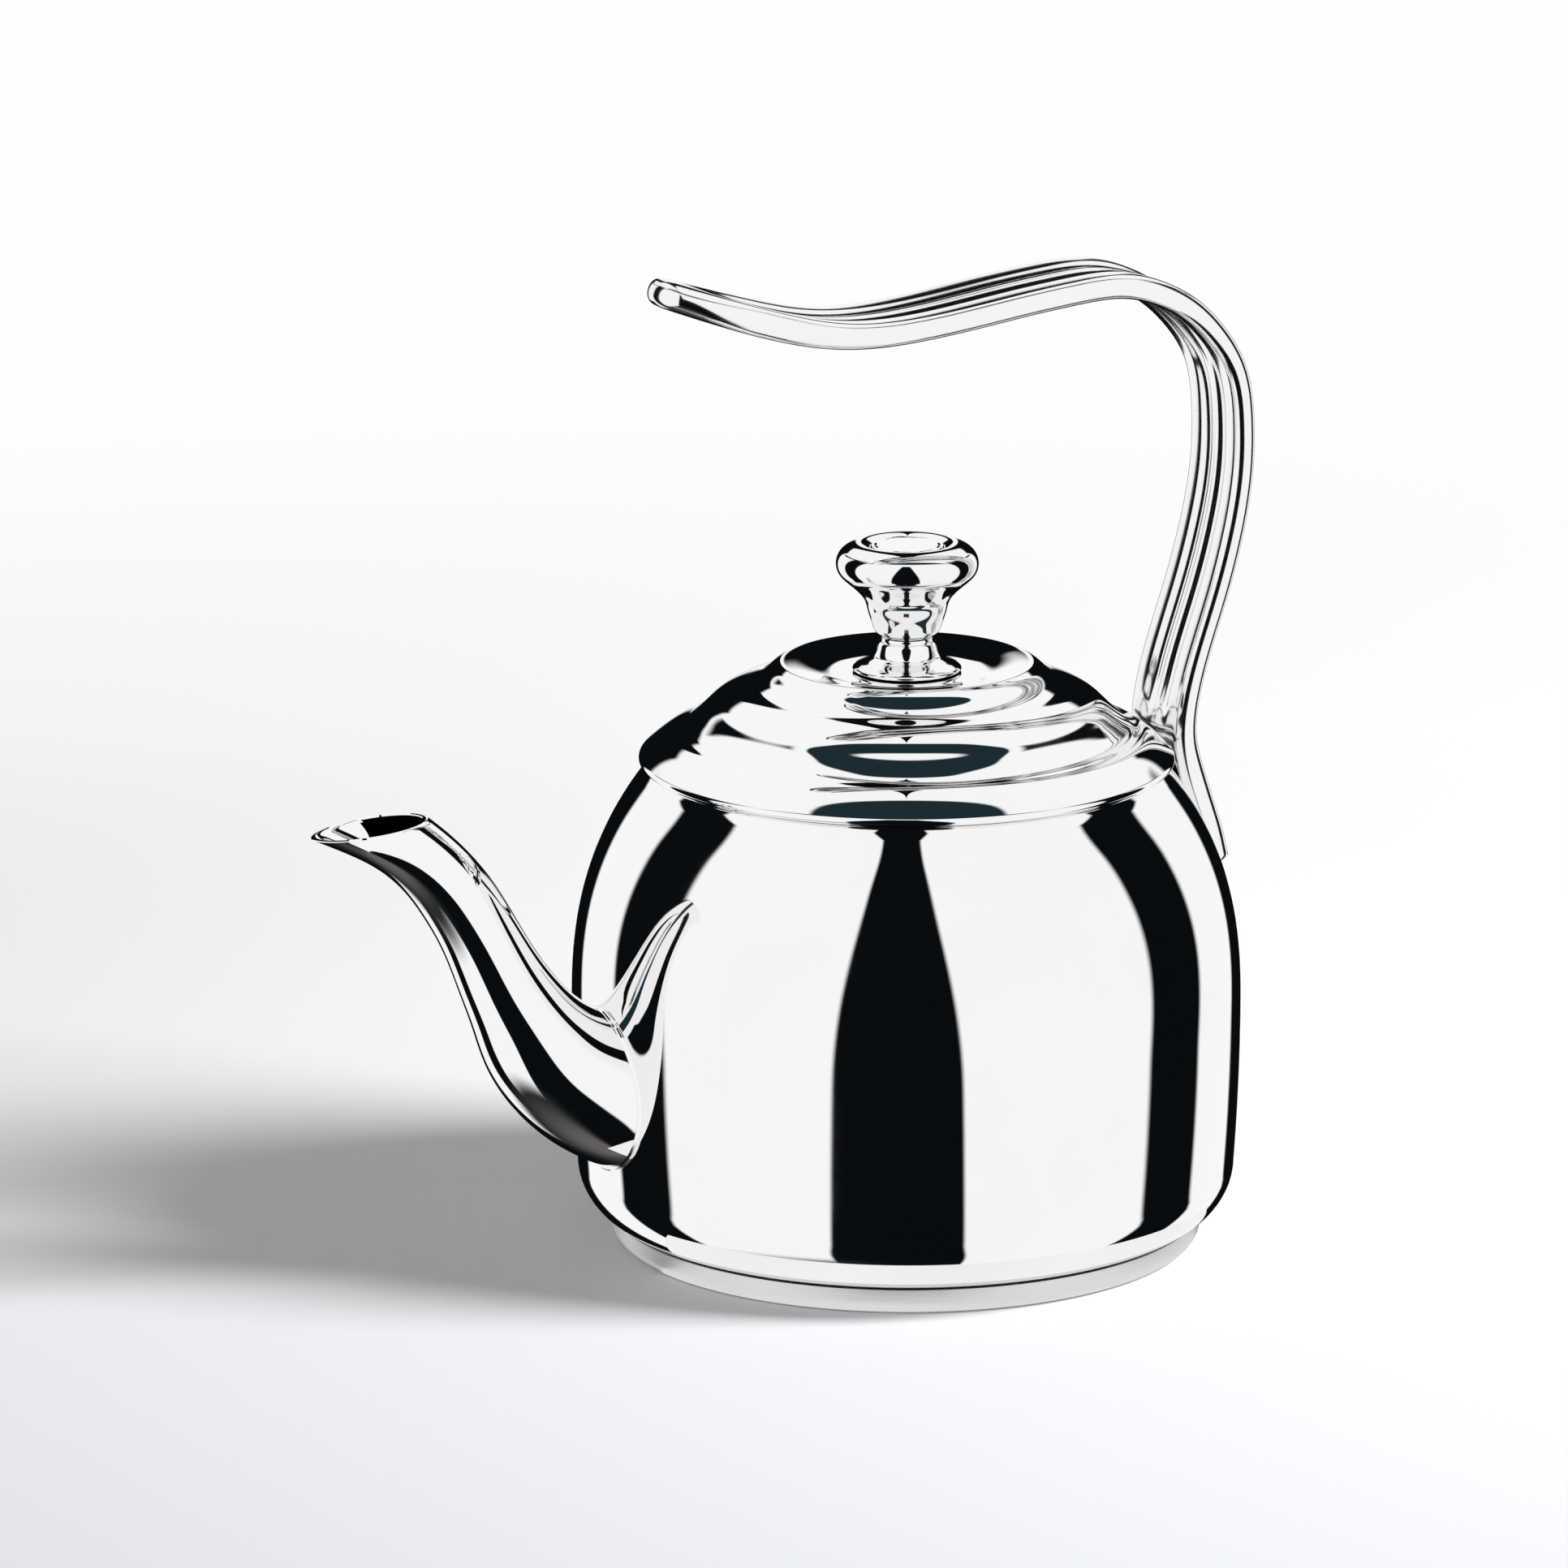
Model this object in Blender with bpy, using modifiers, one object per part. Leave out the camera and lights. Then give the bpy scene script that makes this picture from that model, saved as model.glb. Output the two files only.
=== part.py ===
"""Polished stainless steel kettle: barrel body, S-curved spout, stepped lid with a knob, cast handle.

Metres, +Z up. The origin is on the table under the body's axis. The spout points to -X, the handle
rises on +X, and every piece is symmetric about the plane Y = 0.
"""

import math

import bmesh
import bpy
from mathutils import Vector

MM = 0.001

# Fits
SEAT_GAP = 0.3 * MM
LID_PLAY = 0.6 * MM
SCREW_PLAY = 0.3 * MM

# Body: a drawn barrel with a domed shoulder and a turned-in mouth
BODY_RADIUS = 76.0 * MM
BELLY_HEIGHT = 54.0 * MM
BODY_FOOT_TAPER = 1.2 * MM
BOTTOM_CORNER = 12.9 * MM
BODY_FLOOR_HEIGHT = 5.2 * MM
NECK_RADIUS = 58.2 * MM
MOUTH_HEIGHT = 110.2 * MM
SHOULDER_POWER = 2.5
BODY_WALL = 0.8 * MM
MOUTH_INSET = 3.4 * MM
MOUTH_BEND = 1.4 * MM
MOUTH_LIP_DEPTH = 4.0 * MM

# Sandwich base: a steel cap pressed over an aluminium disc
BASE_CAP_INSET = 7.6 * MM
BASE_SEAM = 0.45 * MM
BASE_CAP_CORNER = 3.2 * MM
BASE_CAP_WALL = 0.8 * MM

# Spout stations: distance out from the belly, height over the root, outside radius
SPOUT_ROOT_HEIGHT = 43.0 * MM
SPOUT_STATIONS = (
    (-14.0 * MM, -4.3 * MM, 18.40 * MM),
    (-5.0 * MM, -1.4 * MM, 17.60 * MM),
    (3.0 * MM, 2.0 * MM, 16.30 * MM),
    (9.6 * MM, 6.6 * MM, 14.90 * MM),
    (15.5 * MM, 13.0 * MM, 13.30 * MM),
    (20.2 * MM, 20.6 * MM, 11.30 * MM),
    (24.6 * MM, 28.8 * MM, 9.90 * MM),
    (29.2 * MM, 38.2 * MM, 9.00 * MM),
    (34.5 * MM, 47.4 * MM, 8.65 * MM),
    (41.2 * MM, 55.9 * MM, 8.15 * MM),
    (48.8 * MM, 62.7 * MM, 8.00 * MM),
    (57.5 * MM, 68.6 * MM, 8.60 * MM),
    (68.0 * MM, 74.4 * MM, 9.20 * MM),
)
SPOUT_WALL = 1.0 * MM
SPOUT_MOUTH_RISE = 66.1 * MM
SPOUT_MOUTH_INSET = 2.5 * MM
SPOUT_MOUTH_TILT = math.radians(5.0)
POUR_HOLE_RADIUS = 14.5 * MM

# Lid: steps from the knob's seat outwards, as shares of the rim's radius and heights over the rim's underside
LID_OVERHANG = 2.4 * MM
LID_EDGE_ROUND = 1.0 * MM
LID_HEM_WIDTH = 3.6 * MM
LID_WALL = 0.8 * MM
LID_STEPS = (
    (0.223, 21.0 * MM),
    (0.350, 21.25 * MM),
    (0.420, 22.4 * MM),
    (0.472, 23.2 * MM),
    (0.495, 22.45 * MM),
    (0.531, 20.4 * MM),
    (0.571, 18.75 * MM),
    (0.627, 17.5 * MM),
    (0.685, 15.9 * MM),
    (0.731, 14.1 * MM),
    (0.766, 12.0 * MM),
    (0.802, 9.5 * MM),
    (0.835, 8.0 * MM),
    (0.880, 7.0 * MM),
    (0.927, 5.2 * MM),
    (0.972, 2.95 * MM),
)
LID_SKIRT_DEPTH = 9.0 * MM
LID_SKIRT_WALL = 0.7 * MM
LID_SKIRT_FLANGE = 3.2 * MM

# Knob: a cast head on a flared foot, drawn down by one screw from under the lid
KNOB_FOOT_RADIUS = 12.6 * MM
KNOB_FOOT_WAIST = 6.6 * MM
KNOB_FOOT_HEIGHT = 7.6 * MM
KNOB_FOOT_EDGE = 0.9 * MM
KNOB_FOOT_SWELL = 1.15 * MM
KNOB_WAIST_RADIUS = 6.4 * MM
KNOB_NECK_RADIUS = 9.5 * MM
KNOB_NECK_HEIGHT = 8.2 * MM
KNOB_HEAD_RADIUS = 16.1 * MM
KNOB_HEAD_HEIGHT = 21.4 * MM
KNOB_CROWN_HEIGHT = 5.0 * MM
KNOB_CROWN_SWELL = 1.2 * MM
KNOB_DISH_RADIUS = 8.6 * MM
KNOB_DISH_DEPTH = 1.8 * MM
KNOB_DISH_LIP = 1.6 * MM
KNOB_DISC_THICKNESS = 0.9 * MM
KNOB_SCREW_RADIUS = 2.0 * MM
KNOB_SCREW_BITE = 9.0 * MM
KNOB_SCREW_HEAD_RADIUS = 3.8 * MM
KNOB_SCREW_HEAD_HEIGHT = 2.4 * MM
KNOB_WASHER_RADIUS = 6.0 * MM
KNOB_WASHER_THICKNESS = 1.0 * MM
KNOB_SEAL_RADIUS = 6.6 * MM
KNOB_SEAL_THICKNESS = 1.2 * MM

# Handle stations: distance out from the leg's root, height over the mouth, half width, share of the thickness
LEG_CLEARANCE = 1.65 * MM
HANDLE_THICKNESS = 6.0 * MM
HANDLE_STATIONS = (
    (-124.8 * MM, 113.2 * MM, 8.6 * MM, 1.03),
    (-113.2 * MM, 109.0 * MM, 11.2 * MM, 1.11),
    (-101.2 * MM, 105.2 * MM, 12.2 * MM, 1.09),
    (-89.2 * MM, 102.4 * MM, 12.7 * MM, 1.01),
    (-77.2 * MM, 101.5 * MM, 13.0 * MM, 0.96),
    (-65.2 * MM, 102.2 * MM, 13.1 * MM, 0.93),
    (-53.2 * MM, 103.7 * MM, 13.2 * MM, 0.93),
    (-40.8 * MM, 105.5 * MM, 13.3 * MM, 0.93),
    (-28.2 * MM, 107.0 * MM, 13.3 * MM, 0.93),
    (-16.2 * MM, 107.3 * MM, 13.2 * MM, 0.93),
    (-7.2 * MM, 104.8 * MM, 13.1 * MM, 0.93),
    (0.2 * MM, 100.6 * MM, 12.9 * MM, 0.93),
    (6.8 * MM, 94.2 * MM, 12.7 * MM, 0.90),
    (12.0 * MM, 85.8 * MM, 12.5 * MM, 0.87),
    (14.2 * MM, 73.8 * MM, 12.4 * MM, 0.87),
    (14.0 * MM, 60.8 * MM, 12.3 * MM, 0.87),
    (11.7 * MM, 47.3 * MM, 12.3 * MM, 0.87),
    (8.0 * MM, 33.8 * MM, 12.3 * MM, 0.87),
    (3.7 * MM, 20.8 * MM, 12.3 * MM, 0.87),
    (0.8 * MM, 9.8 * MM, 12.4 * MM, 0.90),
    (0.0 * MM, 0.8 * MM, 12.6 * MM, 0.97),
)

# Tongue stations: distance off the body's wall, height over the mouth, half width, share of the thickness
TONGUE_STATIONS = (
    (3.2 * MM, -7.8 * MM, 12.8 * MM, 1.10),
    (1.6 * MM, -14.6 * MM, 12.8 * MM, 1.10),
    (0.85 * MM, -22.2 * MM, 12.7 * MM, 1.10),
    (0.85 * MM, -28.4 * MM, 12.0 * MM, 1.05),
)
HANDLE_RAIL_WIDTH = 3.0 * MM
HANDLE_GROOVE_WIDTH = 3.4 * MM
HANDLE_GROOVE_DEPTH = 1.3 * MM
HANDLE_PANEL_DROP = 0.4 * MM
HANDLE_TIP_ROUND = 3.4 * MM
HANDLE_GROOVE_FADE = 8.0 * MM
HANDLE_SCREW_RADIUS = 2.0 * MM
HANDLE_SCREW_BITE = 2.8 * MM
HANDLE_SCREW_HEAD_RADIUS = 3.6 * MM
HANDLE_SCREW_HEAD_HEIGHT = 1.8 * MM
HANDLE_SEAL_RADIUS = 4.2 * MM
HANDLE_SEAL_THICKNESS = 1.0 * MM
HANDLE_SEAL_GAP = 0.55 * MM
HANDLE_SCREW_DROPS = {"upper": 7.2 * MM, "lower": 16.2 * MM}

# Facets
ROUND_STEPS = 36
SMALL_ROUND_STEPS = 22
SCREW_STEPS = 14
SPOUT_SIDES_RESOLUTION = 6
MERGE = 0.01 * MM

BODY_FOOT_RADIUS = BODY_RADIUS - BODY_FOOT_TAPER
MOUTH_RADIUS = NECK_RADIUS - MOUTH_INSET
BASE_CAP_RADIUS = BODY_FOOT_RADIUS - BASE_CAP_INSET
SPOUT_MOUTH_HEIGHT = SPOUT_ROOT_HEIGHT + SPOUT_MOUTH_RISE
LID_RIM_RADIUS = NECK_RADIUS + LID_OVERHANG
LID_SEAT_HEIGHT = MOUTH_HEIGHT + SEAT_GAP
LID_TOP_HEIGHT = LID_SEAT_HEIGHT + LID_STEPS[0][1]
LEG_ROOT_X = LID_RIM_RADIUS + LEG_CLEARANCE + HANDLE_THICKNESS / 2


def collection(name):
    made = bpy.data.collections.new(name)
    bpy.context.scene.collection.children.link(made)
    return made


def metal(name, colour, roughness, metallic=1.0):
    made = bpy.data.materials.new(name)
    made.use_nodes = True
    shader = made.node_tree.nodes["Principled BSDF"]
    shader.inputs["Base Color"].default_value = (*colour, 1.0)
    shader.inputs["Roughness"].default_value = roughness
    shader.inputs["Metallic"].default_value = metallic
    return made


def smooth_through(points, steps):
    """Points along a Catmull-Rom curve that passes through the given ones."""
    path = []
    last = len(points) - 1
    for i in range(last):
        ends = (points[max(i - 1, 0)], points[i], points[i + 1], points[min(i + 2, last)])
        for k in range(steps):
            t = k / steps
            path.append(tuple(
                b + 0.5 * t * (c - a + t * (2 * a - 5 * b + 4 * c - d + t * (3 * (b - c) + d - a)))
                for a, b, c, d in zip(*ends)
            ))
    path.append(points[last])
    return path


def arc(centre, radius, start, end, steps):
    """Points of an arc in the profile plane, with angles in degrees from the outward direction."""
    turns = (math.radians(start + (end - start) * k / steps) for k in range(steps + 1))
    return [(centre[0] + radius * math.cos(a), centre[1] + radius * math.sin(a)) for a in turns]


def offset_line(points, distance):
    """A profile moved to the side that its faces point to, by a distance square to the line."""
    moved = []
    for i, (r, z) in enumerate(points):
        before = points[max(i - 1, 0)]
        after = points[min(i + 1, len(points) - 1)]
        along = Vector((after[0] - before[0], after[1] - before[1])).normalized()
        moved.append((r - along.y * distance, z + along.x * distance))
    return moved


def height_at(line, radius):
    """Height of a profile that runs outwards, where it first passes a radius."""
    for (r0, z0), (r1, z1) in zip(line, line[1:]):
        if r0 <= radius <= r1:
            return z0 + (z1 - z0) * (radius - r0) / (r1 - r0)
    raise ValueError(f"the profile never reaches radius {radius}")


def add_object(name, mesh, material, group):
    if material:
        mesh.materials.append(material)
    made = bpy.data.objects.new(name, mesh)
    group.objects.link(made)
    if not material:
        made.hide_render = True
        made.display_type = "WIRE"
    return made


def turned(name, profile, material, group, wall=0.0, closed=False, steps=ROUND_STEPS):
    """A profile of (radius, height) turned round Z: a closed ring, a solid on the axis, or a wall."""
    edges = [(i, i + 1) for i in range(len(profile) - 1)]
    if closed:
        edges.append((len(profile) - 1, 0))
    mesh = bpy.data.meshes.new(name)
    mesh.from_pydata([(r, 0.0, z) for r, z in profile], edges, [])
    made = add_object(name, mesh, material, group)
    screw = made.modifiers.new("turn", "SCREW")
    screw.steps = steps
    screw.render_steps = steps
    screw.use_merge_vertices = True
    screw.merge_threshold = MERGE
    if wall:
        shell = made.modifiers.new("wall", "SOLIDIFY")
        shell.thickness = wall
        shell.offset = -1.0
        shell.use_even_offset = True
    return made


def cut(piece, cutter):
    boolean = piece.modifiers.new("cut", "BOOLEAN")
    boolean.operation = "DIFFERENCE"
    boolean.solver = "EXACT"
    boolean.object = cutter


def shade(piece, angle=40):
    piece.data.shade_smooth()
    piece.data.set_sharp_from_angle(angle=math.radians(angle))


def ring_profile(inner, outer, bottom, top):
    return [(inner, top), (outer, top), (outer, bottom), (inner, bottom)]


def body_radius(height):
    """Outside radius of the body over its rounded bottom corner."""
    if height >= BELLY_HEIGHT:
        share = (height - BELLY_HEIGHT) / (MOUTH_HEIGHT - BELLY_HEIGHT)
        return BODY_RADIUS - (BODY_RADIUS - NECK_RADIUS) * share ** SHOULDER_POWER
    corner_top = BODY_FLOOR_HEIGHT + BOTTOM_CORNER
    share = (BELLY_HEIGHT - height) / (BELLY_HEIGHT - corner_top)
    return BODY_RADIUS - (BODY_RADIUS - BODY_FOOT_RADIUS) * share ** 2


def body_side():
    """Outside of the body from under the mouth's bend down to the centre of its floor."""
    top = MOUTH_HEIGHT - MOUTH_BEND
    corner_top = BODY_FLOOR_HEIGHT + BOTTOM_CORNER
    shoulder = [BELLY_HEIGHT + (top - BELLY_HEIGHT) * k / 8 for k in range(8, 0, -1)]
    belly = [corner_top + (BELLY_HEIGHT - corner_top) * k / 3 for k in range(3, 0, -1)]
    corner_centre = (BODY_FOOT_RADIUS - BOTTOM_CORNER, corner_top)
    side = [(body_radius(z), z) for z in shoulder + belly]
    return side + arc(corner_centre, BOTTOM_CORNER, 0, -90, 5) + [(0.0, BODY_FLOOR_HEIGHT)]


def body_normal(height):
    step = 0.1 * MM
    slope = (body_radius(height + step) - body_radius(height - step)) / (2 * step)
    return Vector((1.0, 0.0, -slope)).normalized()


def make_body(steel, parts, cutters):
    neck = body_radius(MOUTH_HEIGHT - MOUTH_BEND)
    bend = arc((MOUTH_RADIUS + MOUTH_BEND, MOUTH_HEIGHT - MOUTH_BEND), MOUTH_BEND, 180, 90, 3)
    outer_bend = arc((neck - MOUTH_BEND, MOUTH_HEIGHT - MOUTH_BEND), MOUTH_BEND, 90, 25, 2)
    lip = [(MOUTH_RADIUS, MOUTH_HEIGHT - MOUTH_LIP_DEPTH)]
    body = turned("body_shell", lip + bend + outer_bend + body_side(), steel, parts, wall=BODY_WALL)
    room = offset_line(body_side(), SEAT_GAP)
    room[-1] = (0.0, BODY_FLOOR_HEIGHT - SEAT_GAP)
    solid = turned("body_room", [(0.0, room[0][1])] + room, None, cutters)
    return body, solid


def make_base(satin, aluminium, parts):
    inside_corner = BASE_CAP_RADIUS - BODY_FOOT_RADIUS + BOTTOM_CORNER
    rise = BOTTOM_CORNER - math.sqrt(BOTTOM_CORNER ** 2 - inside_corner ** 2)
    cap_height = BODY_FLOOR_HEIGHT + rise - BASE_SEAM
    corner = (BASE_CAP_RADIUS - BASE_CAP_CORNER, BASE_CAP_CORNER)
    cap = [(BASE_CAP_RADIUS, cap_height)] + arc(corner, BASE_CAP_CORNER, 0, -90, 4) + [(0.0, 0.0)]
    turned("base_cap", cap, satin, parts, wall=BASE_CAP_WALL)
    core_radius = BASE_CAP_RADIUS - BASE_CAP_WALL - SEAT_GAP
    bottom = BASE_CAP_WALL + SEAT_GAP
    top = BODY_FLOOR_HEIGHT - SEAT_GAP
    chamfer = BASE_CAP_CORNER - BASE_CAP_WALL
    rim = [(core_radius, top), (core_radius, bottom + chamfer), (core_radius - chamfer, bottom)]
    turned("base_core", [(0.0, top)] + rim + [(0.0, bottom)], aluminium, parts)


def spout_path():
    placed = [(-BODY_RADIUS - out, SPOUT_ROOT_HEIGHT + up, radius) for out, up, radius in SPOUT_STATIONS]
    return smooth_through(placed, 2)


def tube(name, path, material, group):
    """A round tube of varying radius along (x, height, radius) points, as a closed mesh."""
    curve = bpy.data.curves.new(name + "_path", "CURVE")
    curve.dimensions = "3D"
    curve.bevel_depth = 1.0
    curve.bevel_resolution = SPOUT_SIDES_RESOLUTION
    curve.use_fill_caps = True
    spline = curve.splines.new("POLY")
    spline.points.add(len(path) - 1)
    for point, (x, z, radius) in zip(spline.points, path):
        point.co = (x, 0.0, z, 1.0)
        point.radius = radius
    guide = bpy.data.objects.new(name + "_path", curve)
    bpy.context.scene.collection.objects.link(guide)
    graph = bpy.context.evaluated_depsgraph_get()
    mesh = bpy.data.meshes.new_from_object(guide.evaluated_get(graph))
    bpy.data.objects.remove(guide)
    merged = bmesh.new()
    merged.from_mesh(mesh)
    bmesh.ops.remove_doubles(merged, verts=merged.verts, dist=MERGE)
    bmesh.ops.recalc_face_normals(merged, faces=merged.faces)
    merged.to_mesh(mesh)
    merged.free()
    return add_object(name, mesh, material, group)


def cylinder(name, start, direction, radius, length, group):
    bpy.ops.mesh.primitive_cylinder_add(vertices=SMALL_ROUND_STEPS, radius=radius, depth=length)
    made = bpy.context.object
    made.name = name
    made.location = start + direction * length / 2
    made.rotation_euler = direction.to_track_quat("Z", "Y").to_euler()
    made.hide_render = True
    made.display_type = "WIRE"
    for owner in list(made.users_collection):
        owner.objects.unlink(made)
    group.objects.link(made)
    return made


def make_spout(steel, body, body_room, parts, cutters):
    path = spout_path()
    spout = tube("spout", path, steel, parts)
    bore = tube("spout_bore", [(x, z, radius - SPOUT_WALL) for x, z, radius in path], None, cutters)
    size = 4 * SPOUT_STATIONS[-1][2]
    bpy.ops.mesh.primitive_cube_add(size=size)
    blade = bpy.context.object
    blade.name = "spout_mouth_cut"
    blade.hide_render = True
    blade.display_type = "WIRE"
    middle = -BODY_RADIUS - SPOUT_STATIONS[-2][0] + SPOUT_MOUTH_INSET
    tilt = SPOUT_MOUTH_TILT
    blade.location = (middle - size / 2 * math.sin(tilt), 0.0, SPOUT_MOUTH_HEIGHT + size / 2 * math.cos(tilt))
    blade.rotation_euler = (0.0, -tilt, 0.0)
    for owner in list(blade.users_collection):
        owner.objects.unlink(blade)
    cutters.objects.link(blade)
    cut(spout, blade)
    cut(spout, body_room)
    cut(spout, bore)
    shade(spout)
    root = Vector((path[0][0], 0.0, path[0][1]))
    ahead = Vector((path[3][0], 0.0, path[3][1]))
    aim = (ahead - root).normalized()
    cut(body, cylinder("pour_hole", root, aim, POUR_HOLE_RADIUS, 3 * POUR_HOLE_RADIUS, cutters))


def handle_path():
    """Points down the handle from its free end: x, height, half width, half thickness."""
    half_thickness = HANDLE_THICKNESS / 2
    placed = []
    for out, up, half_width, share in HANDLE_STATIONS:
        placed.append((LEG_ROOT_X + out, MOUTH_HEIGHT + up, half_width, share * half_thickness))
    for off, up, half_width, share in TONGUE_STATIONS:
        height = MOUTH_HEIGHT + up
        placed.append((body_radius(height) + off, height, half_width, share * half_thickness))
    return smooth_through(placed, 2)


def handle_section(half_width, half_thickness, relief):
    """Outline across the handle: a narrow rail on each edge and a flat panel between two grooves."""
    rail = HANDLE_RAIL_WIDTH / 2
    rail_centre = half_width - rail
    right = [(rail_centre + y, half_thickness / rail * n) for y, n in arc((0.0, 0.0), rail, 90, -90, 4)]
    inside = half_width - HANDLE_RAIL_WIDTH
    groove = min(HANDLE_GROOVE_WIDTH, 0.6 * inside)
    floor = half_thickness - relief * HANDLE_GROOVE_DEPTH
    panel = half_thickness - relief * HANDLE_PANEL_DROP
    bank = (inside, 0.5 * (floor + half_thickness))
    half_face = [bank, (inside - 0.4 * groove, floor), (inside - groove, panel)]
    face = [(y, -n) for y, n in half_face] + [(-y, -n) for y, n in reversed(half_face)]
    turned_round = [(-y, -n) for y, n in right + face]
    return right + face + turned_round


def make_handle(steel, body_room, parts):
    path = handle_path()
    rings = []
    last = len(path) - 1
    for i, (x, z, half, thick) in enumerate(path):
        before = path[max(i - 1, 0)]
        after = path[min(i + 1, last)]
        along = Vector((after[0] - before[0], 0.0, after[1] - before[1])).normalized()
        out = Vector((-along.z, 0.0, along.x))
        groove = max(0.0, min(1.0, i / 4, (z - MOUTH_HEIGHT) / HANDLE_GROOVE_FADE))
        rings.append((Vector((x, 0.0, z)), out, along, handle_section(half, thick, groove)))
    mesh = bpy.data.meshes.new("handle")
    loft = bmesh.new()
    loops = []
    centre, out, along, section = rings[0]
    for share in (0.45, 0.8):
        shrink = math.sqrt(1 - share ** 2)
        back = centre - along * HANDLE_TIP_ROUND * share
        rings.insert(0, (back, out, along, [(y * shrink, n * shrink) for y, n in section]))
    for centre, out, along, section in rings:
        loops.append([loft.verts.new(centre + Vector((0.0, y, 0.0)) + out * n) for y, n in section])
    for first, second in zip(loops, loops[1:]):
        for i in range(len(first)):
            k = (i + 1) % len(first)
            loft.faces.new((first[i], first[k], second[k], second[i]))
    loft.faces.new(loops[0])
    loft.faces.new(loops[-1])
    bmesh.ops.recalc_face_normals(loft, faces=loft.faces)
    bmesh.ops.triangulate(loft, faces=loft.faces)
    loft.to_mesh(mesh)
    loft.free()
    handle = add_object("handle", mesh, steel, parts)
    cut(handle, body_room)
    shade(handle, 50)
    return handle


def place_on_wall(piece, height):
    normal = body_normal(height)
    piece.location = (body_radius(height), 0.0, height)
    piece.rotation_euler = normal.to_track_quat("Z", "Y").to_euler()


def make_handle_fasteners(steel, rubber, body, handle, parts, cutters):
    """Two screws from inside the body, each over a seal: Z runs out through the wall from its outside."""
    shank = HANDLE_SCREW_RADIUS
    hole = shank + SCREW_PLAY
    seal_top = -BODY_WALL - HANDLE_SEAL_GAP
    seal_bottom = seal_top - HANDLE_SEAL_THICKNESS
    head_top = seal_bottom - SEAT_GAP
    head_bottom = head_top - HANDLE_SCREW_HEAD_HEIGHT
    dome = smooth_through([
        (HANDLE_SCREW_HEAD_RADIUS, head_top),
        (0.8 * HANDLE_SCREW_HEAD_RADIUS, head_top - 0.7 * HANDLE_SCREW_HEAD_HEIGHT),
        (0.0, head_bottom),
    ], 3)
    for name, drop in HANDLE_SCREW_DROPS.items():
        height = MOUTH_HEIGHT - drop
        screw = turned(
            f"handle_screw_{name}",
            [(0.0, HANDLE_SCREW_BITE), (shank, HANDLE_SCREW_BITE), (shank, head_top)] + dome,
            steel, parts, steps=SCREW_STEPS,
        )
        seal_ring = ring_profile(hole, HANDLE_SEAL_RADIUS, seal_bottom, seal_top)
        seal = turned(f"handle_seal_{name}", seal_ring, rubber, parts, closed=True, steps=SCREW_STEPS)
        normal = body_normal(height)
        start = Vector((body_radius(height), 0.0, height)) - normal * 4 * BODY_WALL
        length = 4 * BODY_WALL + HANDLE_SCREW_BITE + SEAT_GAP
        drill = cylinder(f"handle_screw_hole_{name}", start, normal, hole, length, cutters)
        place_on_wall(screw, height)
        place_on_wall(seal, height)
        cut(body, drill)
        cut(handle, drill)


def lid_outside():
    """Outside of the lid from the screw hole in its middle down to the edge of the rim."""
    edge = (LID_RIM_RADIUS - LID_EDGE_ROUND, LID_EDGE_ROUND)
    edge_arc = arc(edge, LID_EDGE_ROUND, 45, -90, 3)
    placed = [(share * LID_RIM_RADIUS, up) for share, up in LID_STEPS]
    hole = KNOB_SCREW_RADIUS + SCREW_PLAY
    line = [(hole, LID_STEPS[0][1])] + placed + edge_arc
    return [(r, LID_SEAT_HEIGHT + z) for r, z in line]


def make_lid(steel, parts):
    outside = lid_outside()
    hem = (LID_RIM_RADIUS - LID_EDGE_ROUND - LID_HEM_WIDTH, LID_SEAT_HEIGHT)
    shell = turned("lid_shell", outside + [hem], steel, parts, wall=LID_WALL)
    radius = MOUTH_RADIUS - LID_PLAY
    under = offset_line(outside, -LID_WALL - SEAT_GAP)
    reach = [radius - LID_SKIRT_FLANGE * k / 2 for k in (2, 1, 0)]
    flange = [(r, height_at(under, r)) for r in reach]
    bottom = (radius, LID_SEAT_HEIGHT - LID_SKIRT_DEPTH)
    skirt = turned("lid_skirt", flange + [bottom], steel, parts, wall=LID_SKIRT_WALL)
    return [shell, skirt]


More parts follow.
